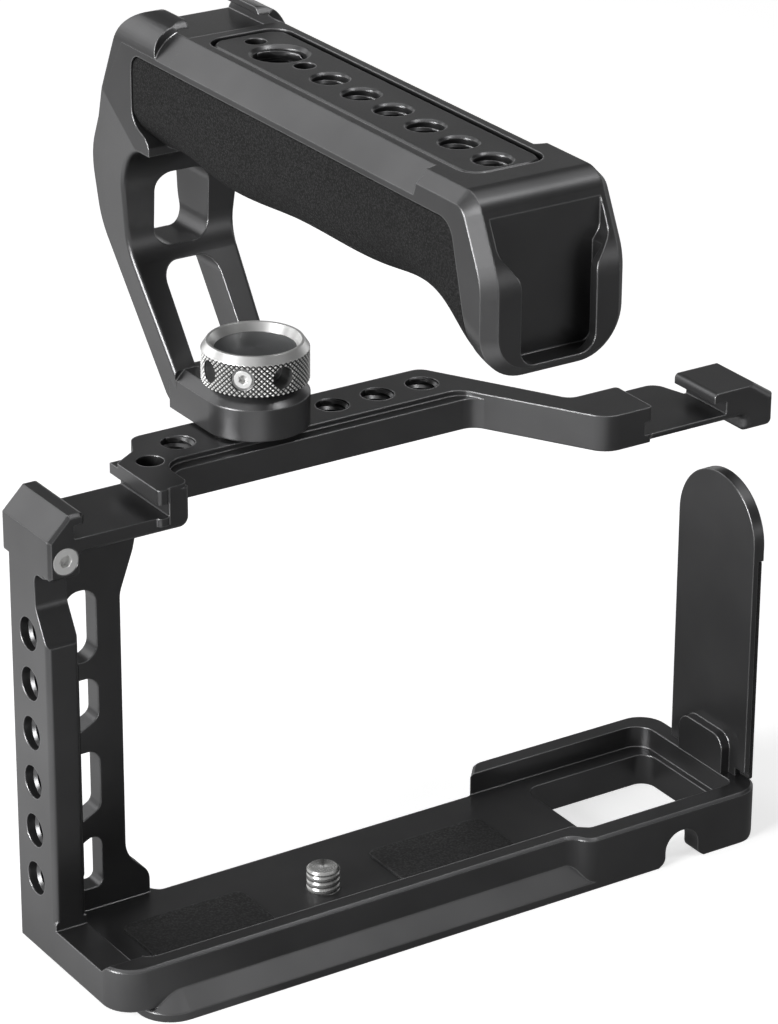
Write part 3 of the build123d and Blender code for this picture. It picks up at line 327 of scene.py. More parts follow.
def makeThreadLines():
    # A helical ridge round an upright axis: 1 at its crest, 0 in its groove.
    group, inputs, outputs = newGroup(
        "threadLines", {"Axis Place": "Vector", "Pitch": "Float"}, {"Ridge": "Float"}
    )
    parts = splitParts(group, offsetFrom(group, inputs["Axis Place"]))
    share = calculate(group, "DIVIDE", angleRound(group, parts), 2 * math.pi)
    rise = calculate(group, "DIVIDE", parts["Z"], inputs["Pitch"])
    ridge = calculate(group, "PINGPONG", calculate(group, "SUBTRACT", rise, share), 0.5)
    group.links.new(calculate(group, "MULTIPLY", ridge, 2.0), outputs["Ridge"])
    return group


edgeLight = makeEdgeLight(edgeSettings)
fineGrain = makeFineGrain(grainSettings)
axisRings = makeAxisRings()
threadLines = makeThreadLines()
print("shared effects built")


# small tools for new pieces; distances in metres under which points count as one
weld = {"band": 1e-5, "node": 2e-6, "piece": 1e-6, "sliver": 2e-7, "hair": 1e-7}
sharpAngle = 28.0    # edges between finished faces stay sharp from this angle in degrees


def shadeFaces(mesh, sharp=sharpAngle):
    mesh.shade_smooth()
    mesh.set_sharp_from_angle(angle=math.radians(sharp))


def addPiece(name, bm, material, body, sharp=30.0):
    piece = addObject(name, meshFrom(bm, name))
    shadeFaces(piece.data, sharp)
    piece.data.materials.append(material)
    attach(piece, body)
    return piece


def copyNode(name):
    bm = bmesh.new()
    bm.from_mesh(nodes[name].data)
    bmesh.ops.remove_doubles(bm, verts=bm.verts, dist=weld["node"])
    return bm


def spinProfile(bm, points, center, axis, steps):
    corners = [bm.verts.new(point) for point in points]
    edges = [bm.edges.new((corners[i - 1], corners[i])) for i in range(len(corners))]
    bmesh.ops.spin(
        bm, geom=corners + edges, cent=center, axis=axis, angle=2 * math.pi, steps=steps, use_merge=True
    )


def roundedOutline(points, steps):
    # Each point is (across, up, corner radius); a corner with a radius becomes an arc.
    outline = []
    for i, (across, up, radius) in enumerate(points):
        corner = Vector((across, up))
        if not radius:
            outline.append(corner)
            continue
        before = (Vector(points[i - 1][:2]) - corner).normalized()
        after = (Vector(points[(i + 1) % len(points)][:2]) - corner).normalized()
        half = before.angle(after) / 2
        center = corner + (before + after).normalized() * radius / math.sin(half)
        start = corner + before * radius / math.tan(half) - center
        end = corner + after * radius / math.tan(half) - center
        turn = start.angle_signed(end)
        for step in range(steps + 1):
            angle = -turn * step / steps
            cos, sin = math.cos(angle), math.sin(angle)
            outline.append(center + Vector((start.x * cos - start.y * sin, start.x * sin + start.y * cos)))
    return outline


def addPrism(bm, outline, place, along):
    # A closed prism: place turns an outline point into a corner, along is the sweep, in millimetres.
    corners = [bm.verts.new(Vector(place(*point)) * mm) for point in outline]
    face = bm.faces.new(corners)
    swept = bmesh.ops.extrude_face_region(bm, geom=[face])["geom"]
    moved = [item for item in swept if isinstance(item, bmesh.types.BMVert)]
    bmesh.ops.translate(bm, verts=moved, vec=Vector(along) * mm)


def toolFrom(bm, name):
    bmesh.ops.recalc_face_normals(bm, faces=bm.faces)
    return addObject(name, meshFrom(bm, name))


def prismTool(name, outline, place, along):
    bm = bmesh.new()
    addPrism(bm, outline, place, along)
    return toolFrom(bm, name)


def applyModifiers(piece):
    graph = bpy.context.evaluated_depsgraph_get()
    finished = bpy.data.meshes.new_from_object(piece.evaluated_get(graph))
    piece.modifiers.clear()
    piece.data = finished


def combine(piece, tool, operation):
    step = piece.modifiers.new(tool.name, "BOOLEAN")
    step.operation = operation
    step.solver = "EXACT"
    step.object = tool
    applyModifiers(piece)
    bpy.data.objects.remove(tool)


def dropSlivers(mesh):
    # Faces without area go, and so do pairs that lie back to back.
    bm = bmesh.new()
    bm.from_mesh(mesh)
    bmesh.ops.triangulate(bm, faces=bm.faces)
    bmesh.ops.remove_doubles(bm, verts=bm.verts, dist=weld["sliver"])
    bmesh.ops.dissolve_degenerate(bm, dist=weld["sliver"], edges=bm.edges)
    bmesh.ops.triangulate(bm, faces=bm.faces)
    seen = {}
    for face in bm.faces:
        seen.setdefault(frozenset(vert.index for vert in face.verts), []).append(face)
    doubled = [face for faces in seen.values() if len(faces) > 1 for face in faces]
    bmesh.ops.delete(bm, geom=doubled, context="FACES")
    bm.to_mesh(mesh)
    bm.free()


# black anodised aluminium
anodisedLook = {
    "color": (0.120, 0.120, 0.122),
    "toneShares": (0.86, 1.16),
    # painted highlight along every edge, mixed into the base colour
    "edgeHighlightColor": (0.42, 0.42, 0.425),
    "edgeHighlightAmount": 0.7,
    "edgeRadius": 0.4,
    "plainRoughness": 0.42,    # what a tool finds that doesn't follow the node tree
    "roughness": (0.29, 0.36),
    "metallic": 0.9,
    "grainScale": 4200.0,
    "driftScale": 38.0,
    "bumpStrength": 0.35,
    "bumpDepth": 0.006,
}
threadFinishLook = {**anodisedLook, "edgeRadius": 0.12}


def tint(color, share):
    return tuple(share * part for part in color)


def makeAnodised(name, look):
    material, tree, shader = newMaterial(name, look["plainRoughness"], look["metallic"])
    edge = useGroup(tree, edgeLight, {"Radius": look["edgeRadius"] * mm})
    grain = useGroup(tree, fineGrain, {"Scale": look["grainScale"], "Drift Scale": look["driftScale"]})
    darker, lighter = (tint(look["color"], share) for share in look["toneShares"])
    tone = mixColors(tree, spread(tree, grain["Drift"], *noiseReach, 0.0, 1.0), darker, lighter)
    # painted highlight: the edges are lightened towards a light grey in the base colour
    paintedEdgeHighlight = calculate(tree, "MULTIPLY", edge["Edge"], look["edgeHighlightAmount"])
    tree.links.new(mixColors(tree, paintedEdgeHighlight, tone, look["edgeHighlightColor"]), shader.inputs["Base Color"])
    tree.links.new(spread(tree, grain["Grain"], *noiseReach, *look["roughness"]), shader.inputs["Roughness"])
    links = {"Height": grain["Grain"], "Normal": edge["Normal"]}
    addBump(tree, shader, look["bumpStrength"], look["bumpDepth"], links)
    return material


# screws and pins
screwLook = {
    "color": (0.92, 0.92, 0.91),
    "dullShare": 0.8,
    "roughness": 0.34,
    "roughnessChange": (-0.04, 0.06),
    "metallic": 0.5,
    "edgeRadius": 0.15,
    "grainScale": 2500.0,
    "driftScale": 160.0,
    "bumpStrength": 0.8,
    "bumpDepth": 0.001,
}
darkScrewLook = {**screwLook, "color": (0.09, 0.09, 0.09)}
threadedLook = {
    **screwLook,
    "color": (0.60, 0.60, 0.59),
    "roughness": 0.24,
    "pitch": 1.27,
    "threadRadius": 3.4,
    "threadDepth": 0.5,
    "grooveReach": (0.0, 0.45),    # painted shade: dark up to the first share of the ridge's height, plain from the second
    "grooveShadeShare": 0.18,
}
studLook = {**threadedLook, "axis": knobAxis, "threadFrom": 0.0}
cameraScrewLook = {**threadedLook, "axis": (0, 0, 0), "threadFrom": 3.0}


def makeScrewSteel(name, look):
    # Plated steel; with an axis, its shank shows the thread, with painted shade in the thread's grooves.
    material, tree, shader = newMaterial(name, look["roughness"], look["metallic"])
    edge = useGroup(tree, edgeLight, {"Radius": look["edgeRadius"] * mm})
    grain = useGroup(tree, fineGrain, {"Scale": look["grainScale"], "Drift Scale": look["driftScale"]})
    tone = mixColors(tree, grain["Drift"], tint(look["color"], look["dullShare"]), look["color"])
    height = grain["Grain"]
    depth = look["bumpDepth"]
    if "axis" in look:
        axis = Vector(look["axis"]) * mm
        lines = useGroup(tree, threadLines, {"Axis Place": axis, "Pitch": look["pitch"] * mm})
        turned = useGroup(tree, axisRings, {"Axis Place": axis})
        level = splitParts(tree, objectPlace(tree))["Z"]
        above = calculate(tree, "GREATER_THAN", level, look["threadFrom"] * mm)
        close = calculate(tree, "LESS_THAN", turned["Distance"], look["threadRadius"] * mm)
        shank = calculate(tree, "MULTIPLY", above, close)
        height = calculate(tree, "MULTIPLY", lines["Ridge"], shank)
        depth = look["threadDepth"]
        # painted shade darkens the thread's grooves
        groove = spread(tree, height, *look["grooveReach"], 1.0, 0.0)
        shade = calculate(tree, "MULTIPLY", groove, shank)
        tone = mixColors(tree, shade, tone, tint(look["color"], look["grooveShadeShare"]))
    tree.links.new(tone, shader.inputs["Base Color"])
    smooth, rough = (look["roughness"] + change for change in look["roughnessChange"])
    tree.links.new(spread(tree, grain["Grain"], *noiseReach, smooth, rough), shader.inputs["Roughness"])
    addBump(tree, shader, look["bumpStrength"], depth, {"Height": height, "Normal": edge["Normal"]})
    return material


# disc in the knob's dish
capLook = {
    # a painted glint lifts the cap from the first colour to the second in two streaks
    "darker": (0.150, 0.153, 0.157),
    "lighter": (0.195, 0.200, 0.205),
    "plainRoughness": 0.36,
    "roughness": (0.32, 0.42),
    "metallic": 0.7,
    "ringPitch": 0.2,
    "bumpStrength": 0.25,
    "bumpDepth": 0.01,
}


def makeDarkCap(name, look):
    # Satin and dark, with faint turning rings and a painted glint in two streaks round the axis.
    material, tree, shader = newMaterial(name, look["plainRoughness"], look["metallic"])
    values = {"Axis Place": Vector(knobAxis) * mm, "Pitch": look["ringPitch"] * mm}
    turned = useGroup(tree, axisRings, values)
    # painted glint: lighter in two streaks round the axis
    paintedGlint = spread(tree, turned["Streaks"], -1.0, 1.0, 0.0, 1.0)
    tree.links.new(mixColors(tree, paintedGlint, look["darker"], look["lighter"]), shader.inputs["Base Color"])
    tree.links.new(spread(tree, turned["Rings"], *noiseReach, *look["roughness"]), shader.inputs["Roughness"])
    addBump(tree, shader, look["bumpStrength"], look["bumpDepth"], {"Height": turned["Rings"]})
    return material


# grip skins and rubber
skinLook = {
    "noiseShare": 0.8,            # the noise's scale, as a share of the cells'
    "noiseDetail": 3.0,
    "domeReach": (0.05, 0.75),
    "speckReach": (0.12, 0.5),
    "patchScale": 60.0,
    "patchDetail": 2.0,
    "patchAmount": 0.35,
    "plainRoughness": 0.55,
    "roughness": (0.75, 0.45),    # in the valleys, on the peaks
}
leatherLook = {
    **skinLook,
    "cells": 3200.0,
    "stretch": (1.0, 0.75, 1.25),
    "valley": (0.003, 0.003, 0.003),
    "peak": (0.0165, 0.0165, 0.017),
    "specular": 0.2,
    "bumpStrength": 0.9,
    "bumpDepth": 0.22,
}
rubberLook = {
    **skinLook,
    "cells": 2600.0,
    "stretch": (1.0, 1.0, 1.0),
    "valley": (0.014, 0.014, 0.014),
    "peak": (0.030, 0.030, 0.031),
    "specular": 0.3,
    "bumpStrength": 0.5,
    "bumpDepth": 0.05,
}


def makeStippled(name, look):
    # Slightly pebbled: fine grains in loose rows, duller in patches.
    material, tree, shader = newMaterial(name, look["plainRoughness"], 0.0, look["specular"])
    place = objectPlace(tree)
    stretched = addNode(tree, "ShaderNodeMapping", None, {"Scale": look["stretch"]}, {"Vector": place})
    links = {"Vector": stretched.outputs[0]}
    cells = addNode(tree, "ShaderNodeTexVoronoi", {"feature": "SMOOTH_F1"}, {"Scale": look["cells"]}, links)
    values = {"Scale": look["cells"] * look["noiseShare"], "Detail": look["noiseDetail"]}
    noise = addNode(tree, "ShaderNodeTexNoise", None, values, links)
    values = {"Scale": look["patchScale"], "Detail": look["patchDetail"]}
    patch = addNode(tree, "ShaderNodeTexNoise", None, values, {"Vector": place})
    dome = spread(tree, cells.outputs["Distance"], *look["domeReach"], 1.0, 0.0)
    grains = calculate(tree, "MULTIPLY", dome, noise.outputs[0])
    speck = spread(tree, grains, *look["speckReach"], 0.0, 1.0)
    fleck = mixColors(tree, speck, look["valley"], look["peak"])
    shade = spread(tree, patch.outputs[0], *noiseReach, 0.0, look["patchAmount"])
    tree.links.new(mixColors(tree, shade, fleck, look["valley"]), shader.inputs["Base Color"])
    tree.links.new(spread(tree, speck, 0.0, 1.0, *look["roughness"]), shader.inputs["Roughness"])
    addBump(tree, shader, look["bumpStrength"], look["bumpDepth"], {"Height": grains})
    return material


# knurled knob of the thumb screw
knobSizes = {
    "low": 102.35,
    "height": 7.9,
    "radius": 10.15,
    "lowBevel": 0.4,
    "bevelHeight": 1.6,
    "bevelIn": 1.05,
    "bevelStart": 0.15,          # height over the band of the first ring, which keeps the bevel plain
    "rimRadius": 8.6,
    "dishRadius": 7.6,
    "dishDepth": 1.65,
    "capThickness": 0.5,
    "neckRadius": 2.4,
    "columns": 120,
    "rows": 12,
    "rowSlack": 0.1,             # in rows
    "grooveDepth": 0.42,
    "holeHeight": 3.5,
    "holeSteps": 36,
    "toolMargin": 1,             # how far the holes' tool stands out
    "tommyRadius": 2.1,
    "tommyDepth": 4.2,
    "tommyMouth": 0.35,
    "tommyAngles": (0, 90, 180, 270),
    "screwRadius": 1.75,
    "screwOverrun": 0.3,         # how far the screw holes run into the neck
    "screwSeat": (2.2, 9.45),    # radius of the spot face, and how far out it lies
    "screwAngles": (45, 225),
}
knobLook = {
    "color": (0.92, 0.92, 0.91),
    "dullShare": 0.8,
    # painted shade: black at the bottom of the knurling
    "grooveShadeColor": (0.01, 0.01, 0.01),
    "grooveReach": (0.85, 0.3),    # painted shade: dark from the first share of the grooves' depth, bright up to the second
    # painted shade in the bores
    "boreShadeColor": (0.30, 0.30, 0.30),
    "edgeRadius": 0.18,
    "roughness": 0.3,
    "metallic": 0.7,
    "bandMetallic": 0.3,
    "bandOver": 0.01,              # margins of the band's mask, over its top and under its grooves
    "bandUnder": 0.05,
}


def makeKnobSteel(name, look, knob):
    # Bright turned steel with a painted glint in two streaks, painted shade dark at the bottom of the
    # knurling and grey in the bores.
    material, tree, shader = newMaterial(name, look["roughness"], look["metallic"])
    turned = useGroup(tree, axisRings, {"Axis Place": Vector(knobAxis) * mm})
    edge = useGroup(tree, edgeLight, {"Radius": look["edgeRadius"] * mm})
    grooveLow, grooveHigh = (knob["radius"] - share * knob["grooveDepth"] for share in look["grooveReach"])
    bandTop = knob["low"] + knob["height"] - knob["bevelHeight"] + look["bandOver"]
    bandFoot = knob["radius"] - knob["grooveDepth"] - look["bandUnder"]
    deep = spread(tree, turned["Distance"], grooveLow * mm, grooveHigh * mm, 1.0, 0.0)
    below = calculate(tree, "LESS_THAN", splitParts(tree, objectPlace(tree))["Z"], bandTop * mm)
    outside = calculate(tree, "GREATER_THAN", turned["Distance"], bandFoot * mm)
    band = calculate(tree, "MULTIPLY", below, outside)
    inside = calculate(tree, "SUBTRACT", below, band)
    # painted shade at the bottom of the knurl's grooves
    paintedKnurlShade = calculate(tree, "MULTIPLY", band, deep)
    # painted glint: the steel is lighter in two streaks round the axis
    paintedGlint = spread(tree, turned["Streaks"], -1.0, 1.0, 0.0, 1.0)
    bright = mixColors(tree, paintedGlint, tint(look["color"], look["dullShare"]), look["color"])
    # painted shade: grey in the bores
    shaded = mixColors(tree, inside, bright, look["boreShadeColor"])
    tree.links.new(mixColors(tree, paintedKnurlShade, shaded, look["grooveShadeColor"]), shader.inputs["Base Color"])
    metallic = spread(tree, band, 0.0, 1.0, look["metallic"], look["bandMetallic"])
    tree.links.new(metallic, shader.inputs["Metallic"])
    tree.links.new(edge["Normal"], shader.inputs["Normal"])
    return material


def makeKnobBlank(sizes):
    x, y = (value * mm for value in knobAxis[:2])
    low = sizes["low"]
    top = low + sizes["height"]
    bandTop = top - sizes["bevelHeight"]
    bandLow = low + sizes["lowBevel"]
    radius = sizes["radius"]
    dish = top - sizes["dishDepth"]
    profile = [(sizes["neckRadius"], low), (radius - sizes["lowBevel"], low)]
    rowHeight = (bandTop - bandLow) / sizes["rows"]
    profile += [(radius, bandLow + row * rowHeight) for row in range(sizes["rows"] + 1)]
    slope = sizes["bevelIn"] / sizes["bevelHeight"]
    profile += [
        (radius - sizes["bevelStart"] * slope, bandTop + sizes["bevelStart"]),
        (radius - sizes["bevelIn"], top),
        (sizes["rimRadius"], top),
        (sizes["dishRadius"], dish),
        (sizes["dishRadius"], dish - sizes["capThickness"]),
        (sizes["neckRadius"], dish - sizes["capThickness"]),
    ]
    bm = bmesh.new()
    points = [Vector((x + across * mm, y, up * mm)) for across, up in profile]
    spinProfile(bm, points, (x, y, 0), (0, 0, 1), sizes["columns"])
    bmesh.ops.remove_doubles(bm, verts=bm.verts, dist=weld["piece"])
    # every second point of the band goes in, so diamonds stand between the grooves
    for vert in bm.verts:
        row = (vert.co.z / mm - bandLow) / rowHeight
        out = Vector((vert.co.x - x, vert.co.y - y, 0))
        inRows = -sizes["rowSlack"] < row < sizes["rows"] + sizes["rowSlack"]
        if inRows and abs(out.length - radius * mm) < weld["band"]:
            column = round(math.atan2(out.y, out.x) / (2 * math.pi) * sizes["columns"])
            if (column + round(row)) % 2:
                vert.co -= out.normalized() * sizes["grooveDepth"] * mm
    bmesh.ops.triangulate(bm, faces=bm.faces, quad_method="SHORT_EDGE")
    bmesh.ops.recalc_face_normals(bm, faces=bm.faces)
    return bm


def makeKnobHoles(sizes):
    # The tool for the tommy bar's holes and those of the two set screws.
    center = Vector((knobAxis[0] * mm, knobAxis[1] * mm, (sizes["low"] + sizes["holeHeight"]) * mm))
    outer = sizes["radius"] + sizes["toolMargin"]
    tommy, tommyFoot = sizes["tommyRadius"], sizes["radius"] - sizes["tommyDepth"]
    screw, screwFoot = sizes["screwRadius"], sizes["neckRadius"] - sizes["screwOverrun"]
    seat, seatPlace = sizes["screwSeat"]
    tommyProfile = [
        (tommyFoot, 0),
        (tommyFoot, tommy),
        (sizes["radius"] - sizes["tommyMouth"], tommy),
        (outer, tommy + sizes["tommyMouth"] + sizes["toolMargin"]),
        (outer, 0),
    ]
    screwProfile = [
        (screwFoot, 0),
        (screwFoot, screw),
        (seatPlace, screw),
        (seatPlace, seat),
        (outer, seat),
        (outer, 0),
    ]
    bm = bmesh.new()
    for angles, profile in ((sizes["tommyAngles"], tommyProfile), (sizes["screwAngles"], screwProfile)):
        for angle in angles:
            out = Vector((math.cos(math.radians(angle)), math.sin(math.radians(angle)), 0))
            points = [center + out * across * mm + Vector((0, 0, up * mm)) for across, up in profile]
            spinProfile(bm, points, center, out, sizes["holeSteps"])
    bmesh.ops.remove_doubles(bm, verts=bm.verts, dist=weld["piece"])
    bmesh.ops.dissolve_degenerate(bm, dist=weld["hair"], edges=bm.edges)
    return toolFrom(bm, "knobHoles")


def makeKnob(sizes, material):
    knob = addPiece("knurledKnob", makeKnobBlank(sizes), material, "thumb_screw")
    combine(knob, makeKnobHoles(sizes), "DIFFERENCE")
    dropSlivers(knob.data)
    shadeFaces(knob.data)
    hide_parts("thumb_knob")


# threads inside the holes
threadSizes = {
    "quarter": {"radius": 3.225, "pitch": 1.27, "depth": 0.6},
    "threeEighths": {"radius": 4.8125, "pitch": 1.5875, "depth": 0.75},
}
threadShape = {
    "steps": 28,
    "halfWidth": 0.46,    # of the ridge's foot, in pitches
    "runOut": 0.3,        # turns over which the ridge runs out into the wall at both ends
    "sharp": 40.0,
}
postHole = {"size": "quarter", "step": (0, 0, 10), "into": (1, 0, 0), "length": 5.6}
plateHole = {"size": "quarter", "step": (-10, 0, 0), "into": (0, 0, 1), "length": 6.7}
baseHole = {"step": (0, 0, 0), "count": 1, "into": (0, 0, 1)}
cageHoles = (
    {**postHole, "first": (47.0, -14.9, 17.2), "count": 6},
    {**plateHole, "first": (16.7, knobAxis[1], 86.7), "count": 1},
    {**plateHole, "first": (-16.7, knobAxis[1], 86.7), "count": 3},
    {**baseHole, "size": "quarter", "first": (22, 0, 0.6), "length": 4.1},
    {**baseHole, "size": "threeEighths", "first": (-22, 0, 0.5), "length": 4.2},
)
railHole = {"step": (0, 10, 0), "into": (0, 0, 1)}
railHoles = (
    {**railHole, "size": "quarter", "first": (0, 2.75, 164.6), "count": 6, "length": 2.3},
    {**railHole, "size": "threeEighths", "first": (0, -13.9, 164.55), "count": 1, "length": 2.1},
)


def makeThread(size, shape, length):
    # A helical ridge on the wall of a hole along Z, from 0 up.
    bm = bmesh.new()
    radius, pitch, depth = (size[key] * mm for key in ("radius", "pitch", "depth"))
    half = pitch * shape["halfWidth"]
    corners = [(radius, 0, 0), (radius - depth, 0, half), (radius, 0, 2 * half)]
    face = bm.faces.new([bm.verts.new(corner) for corner in corners])
    steps = round((length * mm - pitch) / pitch * shape["steps"])
    turn = 2 * math.pi / shape["steps"]
    bmesh.ops.spin(
        bm, geom=[face], cent=(0, 0, 0), axis=(0, 0, 1), angle=turn * steps, steps=steps,
        dvec=(0, 0, pitch / shape["steps"]), use_merge=False,
    )
    turns = steps / shape["steps"]
    for vert in bm.verts:
        wide = math.hypot(vert.co.x, vert.co.y)
        if wide < radius - depth / 2:
            made = (vert.co.z - half) / pitch
            share = max(0.0, min(1.0, made / shape["runOut"], (turns - made) / shape["runOut"]))
            reach = (radius - depth * share) / wide
            vert.co.x *= reach
            vert.co.y *= reach
    bmesh.ops.recalc_face_normals(bm, faces=bm.faces)
    return meshFrom(bm, "threadTurns")


def makeThreads(name, rows, shape, material, body):
    # One piece for all holes; each row says where its first ridge starts and which way the holes go in.
    bm = bmesh.new()
    for row in rows:
        turn = Vector(row["into"]).to_track_quat("Z", "Y").to_matrix().to_4x4()
        for index in range(row["count"]):
            turns = makeThread(threadSizes[row["size"]], shape, row["length"])
            first = len(bm.verts)
            bm.from_mesh(turns)
            bm.verts.ensure_lookup_table()
            start = [place + index * step for place, step in zip(row["first"], row["step"])]
            place = Matrix.Translation(Vector(start) * mm)
            bmesh.ops.transform(bm, verts=bm.verts[first:], matrix=place @ turn)
            bpy.data.meshes.remove(turns)
    addPiece(name, bm, material, body, sharp=shape["sharp"])


# handle shell: the arm's face and the shoe's lips carried up flush with the grip's sides
shellSizes = {
    "half": 14.1,
    "top": 169.3,
    "edgeRadius": 6.5,
    # places on the head's side view are (y, z)
    "faceFoot": (-57.2, 144.4),
    "faceTop": -45.93,
    "faceRadius": 8.0,
    "lipRear": -34.2,
    "lipRadius": 1.5,
    "lipFoot": (-32.6, 167.48),
    "joinCorner": (-29.0, 162.3),
    "seatCorner": (-42.9, 158.0),
    "backFoot": (-54.0, 142.8),
    # below the crease, the arm's sides taper in
    "crease": (-53.6, 152.5),
    "creaseNormal": (284.2, -19.6, -27.4),
    "clearAbove": 163.2,
    "clearBehind": 1.5,    # past the slot's rear end, over the grip's top
    "slotRear": -29.5,
    "slotFloor": 165.4,
    "slotTop": 168.05,
    "slotHalf": 9.55,
    "openingHalf": 7.3,
    "openingEnds": (-40, -20),
    "gripTop": 167.5,
    "facetDrop": 4.4,
    "facetFront": -34.5,
    "facetRear": -28.0,
    "facetWidth": 10.0,
    "facetRadius": 4.9,
    "facetSteps": 16,
    "cornerSteps": 12,
    "inset": 0.008,        # keeps the head's sides just inside the carried-over ones
    # how far the tools reach past what they cut
    "toolSide": 1,
    "toolOver": 5,
    "toolDepth": 8,
    "toolLow": 130,
    "toolTop": 180,
    "toolHalf": 20,
    "toolEnds": (-70, -10),
}
normalSettings = {
    "near": 0.004,         # millimetres within which a face or a point counts as carried over
    "sameFace": 0.99,      # from this agreement of the normals on
    "sameCorner": 0.95,
    "leastWeight": 1e-9,   # square metres
}


def headOutline(sizes):
    # From the foot of the arm's face over the lips, down into the grip and back behind the face.
    top = sizes["top"]
    lipRear, lipLow = sizes["lipFoot"]
    joinRear, joinLow = sizes["joinCorner"]
    seatFront, seatLow = sizes["seatCorner"]
    corners = [
        (*sizes["faceFoot"], 0),
        (sizes["faceTop"], top, sizes["faceRadius"]),
        (sizes["lipRear"], top, sizes["lipRadius"]),
        (lipRear, lipLow, 0),
        (joinRear, lipLow, 0),
        (joinRear, joinLow, 0),
        (seatFront, joinLow, 0),
        (seatFront, seatLow, 0),
        (*sizes["backFoot"], 0),
    ]
    return roundedOutline(corners, sizes["cornerSteps"])


def makeHead(sizes):
    # The arm's head with the shoe's two lips, before it joins the handle.
    half, top = sizes["half"], sizes["top"]
    edge = half - sizes["inset"]
    front, rear = sizes["toolEnds"]
    wide = half + sizes["toolSide"]
    bm = bmesh.new()
    addPrism(bm, headOutline(sizes), lambda along, up: (-wide, along, up), (2 * wide, 0, 0))
    x, y, z = sizes["creaseNormal"]
    for side in (-1, 1):
        place = Vector((side * edge, *sizes["crease"])) * mm
        cut = bmesh.ops.bisect_plane(
            bm, geom=bm.verts[:] + bm.edges[:] + bm.faces[:], dist=weld["hair"],
            plane_co=place, plane_no=(side * x, y, z), clear_outer=True,
        )["geom_cut"]
        bmesh.ops.holes_fill(bm, edges=[item for item in cut if isinstance(item, bmesh.types.BMEdge)])
    head = toolFrom(bm, "armHead")
    low, radius = sizes["toolLow"], sizes["edgeRadius"]
    corners = [(-edge, low, 0), (-edge, top, radius), (edge, top, radius), (edge, low, 0)]
    section = roundedOutline(corners, sizes["cornerSteps"])
    tool = prismTool("headSection", section, lambda across, up: (across, front, up), (0, rear - front, 0))
    combine(head, tool, "INTERSECT")
    slot, opening, grip = sizes["slotHalf"], sizes["openingHalf"], sizes["gripTop"]
    floor, ledge, above = sizes["slotFloor"], sizes["slotTop"], top + sizes["toolOver"]
    section = (
        (-slot, floor), (slot, floor), (slot, ledge), (opening, ledge),
        (opening, above), (-opening, above), (-opening, ledge), (-slot, ledge),
    )
    along = (0, sizes["slotRear"] - front, 0)
    tool = prismTool("headSlot", section, lambda across, up: (across, front, up), along)
    combine(head, tool, "DIFFERENCE")
    front, rear = sizes["openingEnds"]
    section = ((-opening, grip), (opening, grip), (opening, above), (-opening, above))
    tool = prismTool("headOpening", section, lambda across, up: (across, front, up), (0, rear - front, 0))
    combine(head, tool, "DIFFERENCE")
    return head


def cutFacets(piece, sizes):
    # The round front ends of the grip's long facets.
    width, drop = sizes["facetWidth"] / 2, sizes["facetDrop"] / 2
    low, high, radius = (sizes[key] for key in ("facetFront", "facetRear", "facetRadius"))
    corners = [(low, -width, radius), (high, -width, 0), (high, width, 0), (low, width, radius)]
    outline = roundedOutline(corners, sizes["facetSteps"])
    for side in (-1, 1):
        middle = Vector((side * (sizes["half"] - drop), 0, sizes["gripTop"] - drop + sizes["inset"] / 2))
        lean = Vector((side, 0, 1)).normalized()
        down = Vector((side, 0, -1)).normalized()
        tool = prismTool(
            "headFacet", outline, lambda along, up: middle + Vector((0, along, 0)) + down * up,
            lean * sizes["toolDepth"],
        )
        combine(piece, tool, "DIFFERENCE")


def restoreNormals(mesh, source, settings):
    # Where the surface is the carried-over one, so are its normals.
    near = settings["near"] * mm
    corners = {}
    for face in source.polygons:
        for loop in face.loop_indices:
            pair = (face.normal.copy(), source.corner_normals[loop].vector.copy())
            corners.setdefault(source.loops[loop].vertex_index, []).append(pair)
    points = KDTree(len(source.vertices))
    for vert in source.vertices:
        points.insert(vert.co, vert.index)
    points.balance()
    places = [vert.co for vert in source.vertices]
    surface = BVHTree.FromPolygons(places, [face.vertices[:] for face in source.polygons])
    around = {}
    for face in mesh.polygons:
        for vert in face.vertices:
            around.setdefault(vert, []).append((face.normal.copy(), face.area))
    limit = math.cos(math.radians(sharpAngle))
    normals = [None] * len(mesh.loops)
    kept = 0
    for face in mesh.polygons:
        hit = surface.find_nearest(face.center)
        normal, distance = hit[1], hit[3]
        if distance > near or abs(normal.dot(face.normal)) < settings["sameFace"]:
            # elsewhere the larger faces lead, so flats stay flat and rounds stay round
            for loop in face.loop_indices:
                others = around[mesh.loops[loop].vertex_index]
                alike = [pair for pair in others if pair[0].dot(face.normal) > limit]
                total = sum((pair[0] * pair[1] for pair in alike), face.normal * settings["leastWeight"])
                normals[loop] = total.normalized()
            continue
        kept += 1
        for loop in face.loop_indices:
            place = mesh.vertices[mesh.loops[loop].vertex_index].co
            options = [pair for found in points.find_range(place, near) for pair in corners.get(found[1], [])]
            best = max(options, key=lambda pair: pair[0].dot(face.normal), default=(face.normal, face.normal))
            same = best[0].dot(face.normal) > settings["sameCorner"]
            normals[loop] = best[1] if same else face.normal.copy()
    mesh.normals_split_custom_set(normals)
    print("normals kept on", kept, "of", len(mesh.polygons), "faces")


